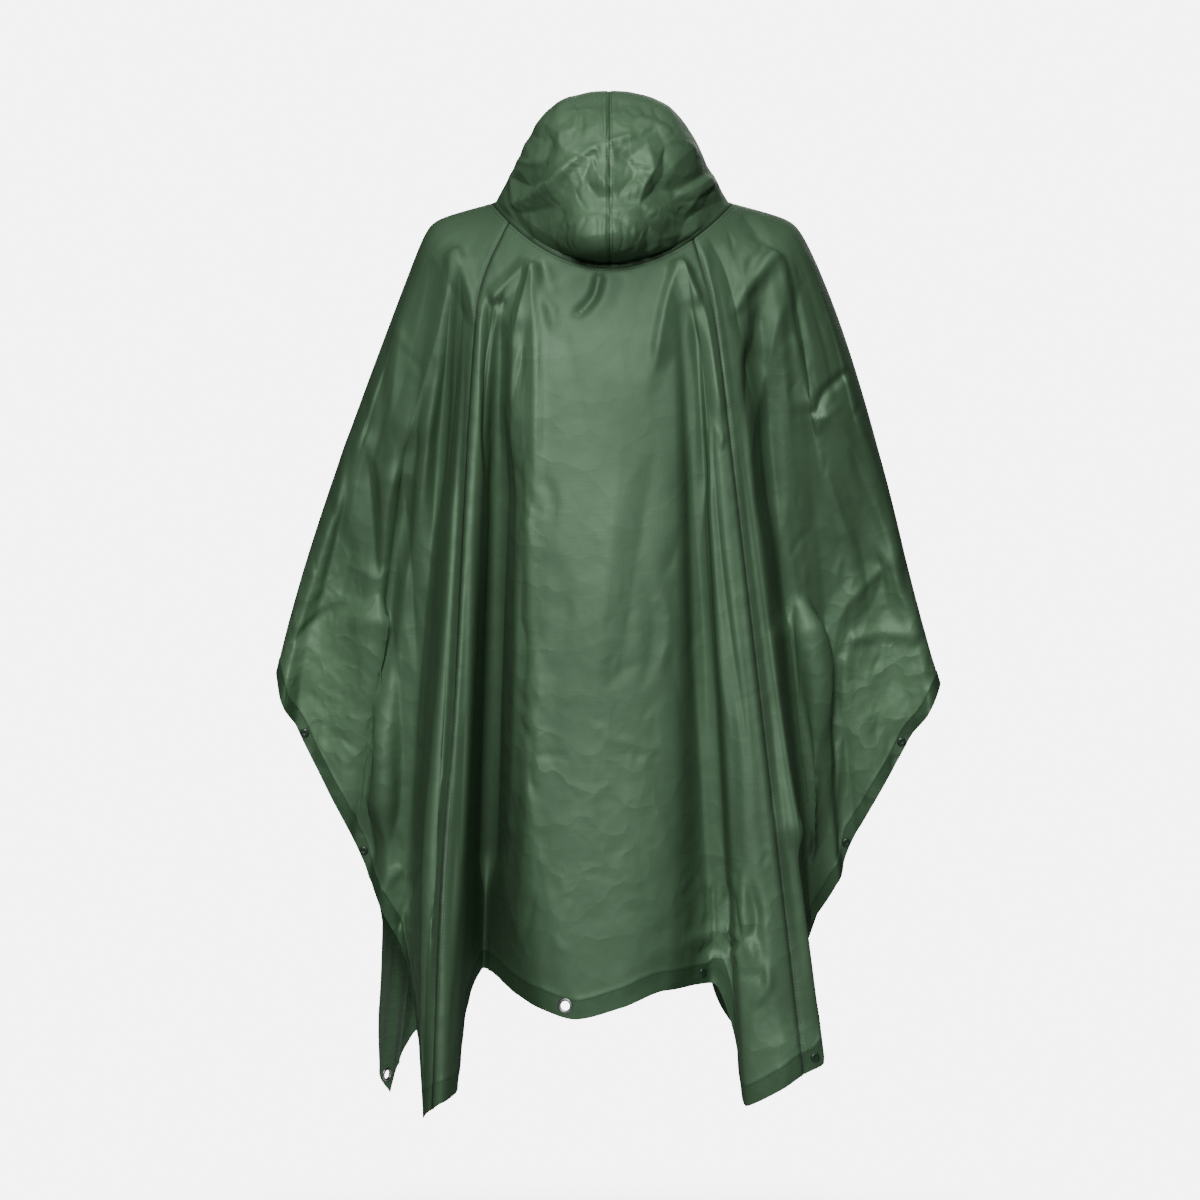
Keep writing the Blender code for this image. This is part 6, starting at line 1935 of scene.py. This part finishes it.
class PONCHO_OT_stitching(bpy.types.Operator):
    """Sew rows of stitches along the hems and seams"""

    bl_idname = "poncho.stitching"
    bl_label = "Stitching"

    def execute(self, context):
        trim = context.scene.poncho_trim
        lines = stitch_lines(trim)
        if not lines:
            raise RuntimeError("make the cloth before its stitching")
        vertices = np.concatenate(lines)
        starts = np.cumsum([0] + [len(line) for line in lines[:-1]])
        edges = [(s + i, s + i + 1) for s, line in zip(starts, lines) for i in range(len(line) - 1)]
        data = bpy.data.meshes.new("stitch_lines")
        data.from_pydata(vertices.tolist(), edges, [])
        guide = placed("stitch_lines", data)
        tree = stitch_tree()
        sewing = guide.modifiers.new("stitches", "NODES")
        sewing.node_group = tree
        given = {
            "Pitch": trim.pitch,
            "Length": trim.stitch,
            "Thickness": trim.thread,
            "Material": material("polyester_thread", sewing_thread, trim),
        }
        for item in tree.interface.items_tree:
            if item.in_out == "INPUT" and item.name in given:
                sewing[item.identifier] = given[item.name]
        sewn = bpy.data.meshes.new_from_object(guide.evaluated_get(context.evaluated_depsgraph_get()))
        sewn.name = "stitching"
        bpy.data.objects.remove(guide, do_unlink=True)
        piece = placed("stitching", sewn)
        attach(piece, "root")
        return {"FINISHED"}


class PONCHO_OT_press_studs(bpy.types.Operator):
    """Set the press studs"""

    bl_idname = "poncho.press_studs"
    bl_label = "Press studs"

    def execute(self, context):
        brass = material("lacquered_brass", lacquered_brass, context.scene.poncho_trim)
        for node in STUD_NODES:
            section = CAP_SECTION + (BALL_SECTION if node.endswith("ball") else SOCKET_SECTION)
            piece = lathe("fine_" + node, section, *fastening_seat(node), closed=False)
            piece.data.materials.append(brass)
            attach(piece, "root")
            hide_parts(node)
        return {"FINISHED"}


class PONCHO_OT_eyelets(bpy.types.Operator):
    """Set the eyelets"""

    bl_idname = "poncho.eyelets"
    bl_label = "Eyelets"

    def execute(self, context):
        aluminium = material("dulled_aluminium", dulled_aluminium, context.scene.poncho_trim)
        for node in EYELET_NODES:
            piece = lathe("fine_" + node, EYELET_SECTION, *fastening_seat(node), closed=True)
            piece.data.materials.append(aluminium)
            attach(piece, "root")
            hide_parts(node)
        return {"FINISHED"}


# Soft lights: name, the power it takes its own from, its share of it, place, aim, width, height
LIGHTS = (
    ("key", "key", 1.0, (0.45, 3.9, 1.6), (0, 0, -0.35), 1.2, 1.4),
    ("top", "fill", 2.0, (0.2, 1.2, 2.8), (0, 0.05, 0.0), 2.0, 1.6),
    ("front", "fill", 3.0, (-0.8, -4.0, 1.4), (0, 0.05, -0.45), 2.6, 2.2),
)
FLOOR_REACH = 3
FLOOR_CELLS = 8
HALF_VIEW = 0.72  # half the width that the camera sees where the poncho is


def add_floor(sizes):
    mesh = bmesh.new()
    bmesh.ops.create_grid(mesh, x_segments=FLOOR_CELLS, y_segments=FLOOR_CELLS, size=FLOOR_REACH)
    data = bpy.data.meshes.new("floor")
    mesh.to_mesh(data)
    mesh.free()
    data.transform(Matrix.Translation((0, 0, sizes.floor)))
    data.materials.append(material("studio_floor", studio_floor, sizes))
    floor = placed("floor", data)


def add_lights(sizes):
    for name, power, share, place, aim, wide, high in LIGHTS:
        lamp = bpy.data.lights.new(name, "AREA")
        lamp.shape = "RECTANGLE"
        lamp.size, lamp.size_y, lamp.energy = wide, high, share * getattr(sizes, power)
        turned = (Vector(aim) - Vector(place)).to_track_quat("-Z", "Y").to_matrix().to_4x4()
        placed(name, lamp).matrix_world = Matrix.Translation(place) @ turned


def studio_world(sizes):
    """Air that looks bright to the camera and gives only a little light."""
    world = bpy.data.worlds.new("studio")
    world.use_nodes = True
    tree = world.node_tree
    tree.nodes.clear()
    air = opaque(sizes.backdrop)
    glow = add_node(tree, "ShaderNodeBackground", {"Color": air, "Strength": sizes.glow})
    ambient = add_node(tree, "ShaderNodeBackground", {"Color": air, "Strength": sizes.ambient})
    seen = add_node(tree, "ShaderNodeLightPath").outputs["Is Camera Ray"]
    both = add_node(tree, "ShaderNodeMixShader", {0: seen, 1: ambient.outputs[0], 2: glow.outputs[0]})
    add_node(tree, "ShaderNodeOutputWorld", {"Surface": both.outputs[0]})
    return world


def add_camera():
    lens = bpy.data.cameras.new("camera")
    lens.sensor_fit = "HORIZONTAL"
    lens.angle = 2 * math.atan(HALF_VIEW / (EYE_DISTANCE - PICTURE_DEPTH))
    lens.dof.use_dof = False
    camera = placed("camera", lens)
    camera.location = (EYE_SIDE, EYE_DISTANCE, EYE_HEIGHT)
    camera.rotation_euler = (math.radians(90), 0, math.radians(180))
    return camera


class PONCHO_OT_stage(bpy.types.Operator):
    """Set up the floor, the lights and the camera"""

    bl_idname = "poncho.stage"
    bl_label = "Stage"

    def execute(self, context):
        sizes = context.scene.poncho_stage
        add_floor(sizes)
        add_lights(sizes)
        context.scene.world = studio_world(sizes)
        context.scene.camera = add_camera()
        return {"FINISHED"}


class PONCHO_PT_panel(bpy.types.Panel):
    """The poncho's pieces, in the order in which they are made"""

    bl_label = "Rain Poncho"
    bl_idname = "PONCHO_PT_panel"
    bl_space_type = "VIEW_3D"
    bl_region_type = "UI"
    bl_category = "Rain Poncho"

    def draw(self, context):
        for operator in OPERATORS:
            self.layout.operator(operator.bl_idname)
        for group in (context.scene.poncho_cloth, context.scene.poncho_trim, context.scene.poncho_stage):
            box = self.layout.box()
            for name in group.__annotations__:
                box.prop(group, name)


OPERATORS = (
    PONCHO_OT_back_panel,
    PONCHO_OT_side_panels,
    PONCHO_OT_front_panel,
    PONCHO_OT_hood,
    PONCHO_OT_stitching,
    PONCHO_OT_press_studs,
    PONCHO_OT_eyelets,
    PONCHO_OT_stage,
)
CLASSES = (ClothSizes, TrimSizes, StageSizes, *OPERATORS, PONCHO_PT_panel)


def register():
    for each in CLASSES:
        bpy.utils.register_class(each)
    bpy.types.Scene.poncho_cloth = PointerProperty(type=ClothSizes)
    bpy.types.Scene.poncho_trim = PointerProperty(type=TrimSizes)
    bpy.types.Scene.poncho_stage = PointerProperty(type=StageSizes)


def unregister():
    del bpy.types.Scene.poncho_stage, bpy.types.Scene.poncho_trim, bpy.types.Scene.poncho_cloth
    for each in reversed(CLASSES):
        bpy.utils.unregister_class(each)


def main():
    register()
    for operator in OPERATORS:
        group, name = operator.bl_idname.split(".")
        getattr(getattr(bpy.ops, group), name)()


if __name__ == "__main__":
    main()
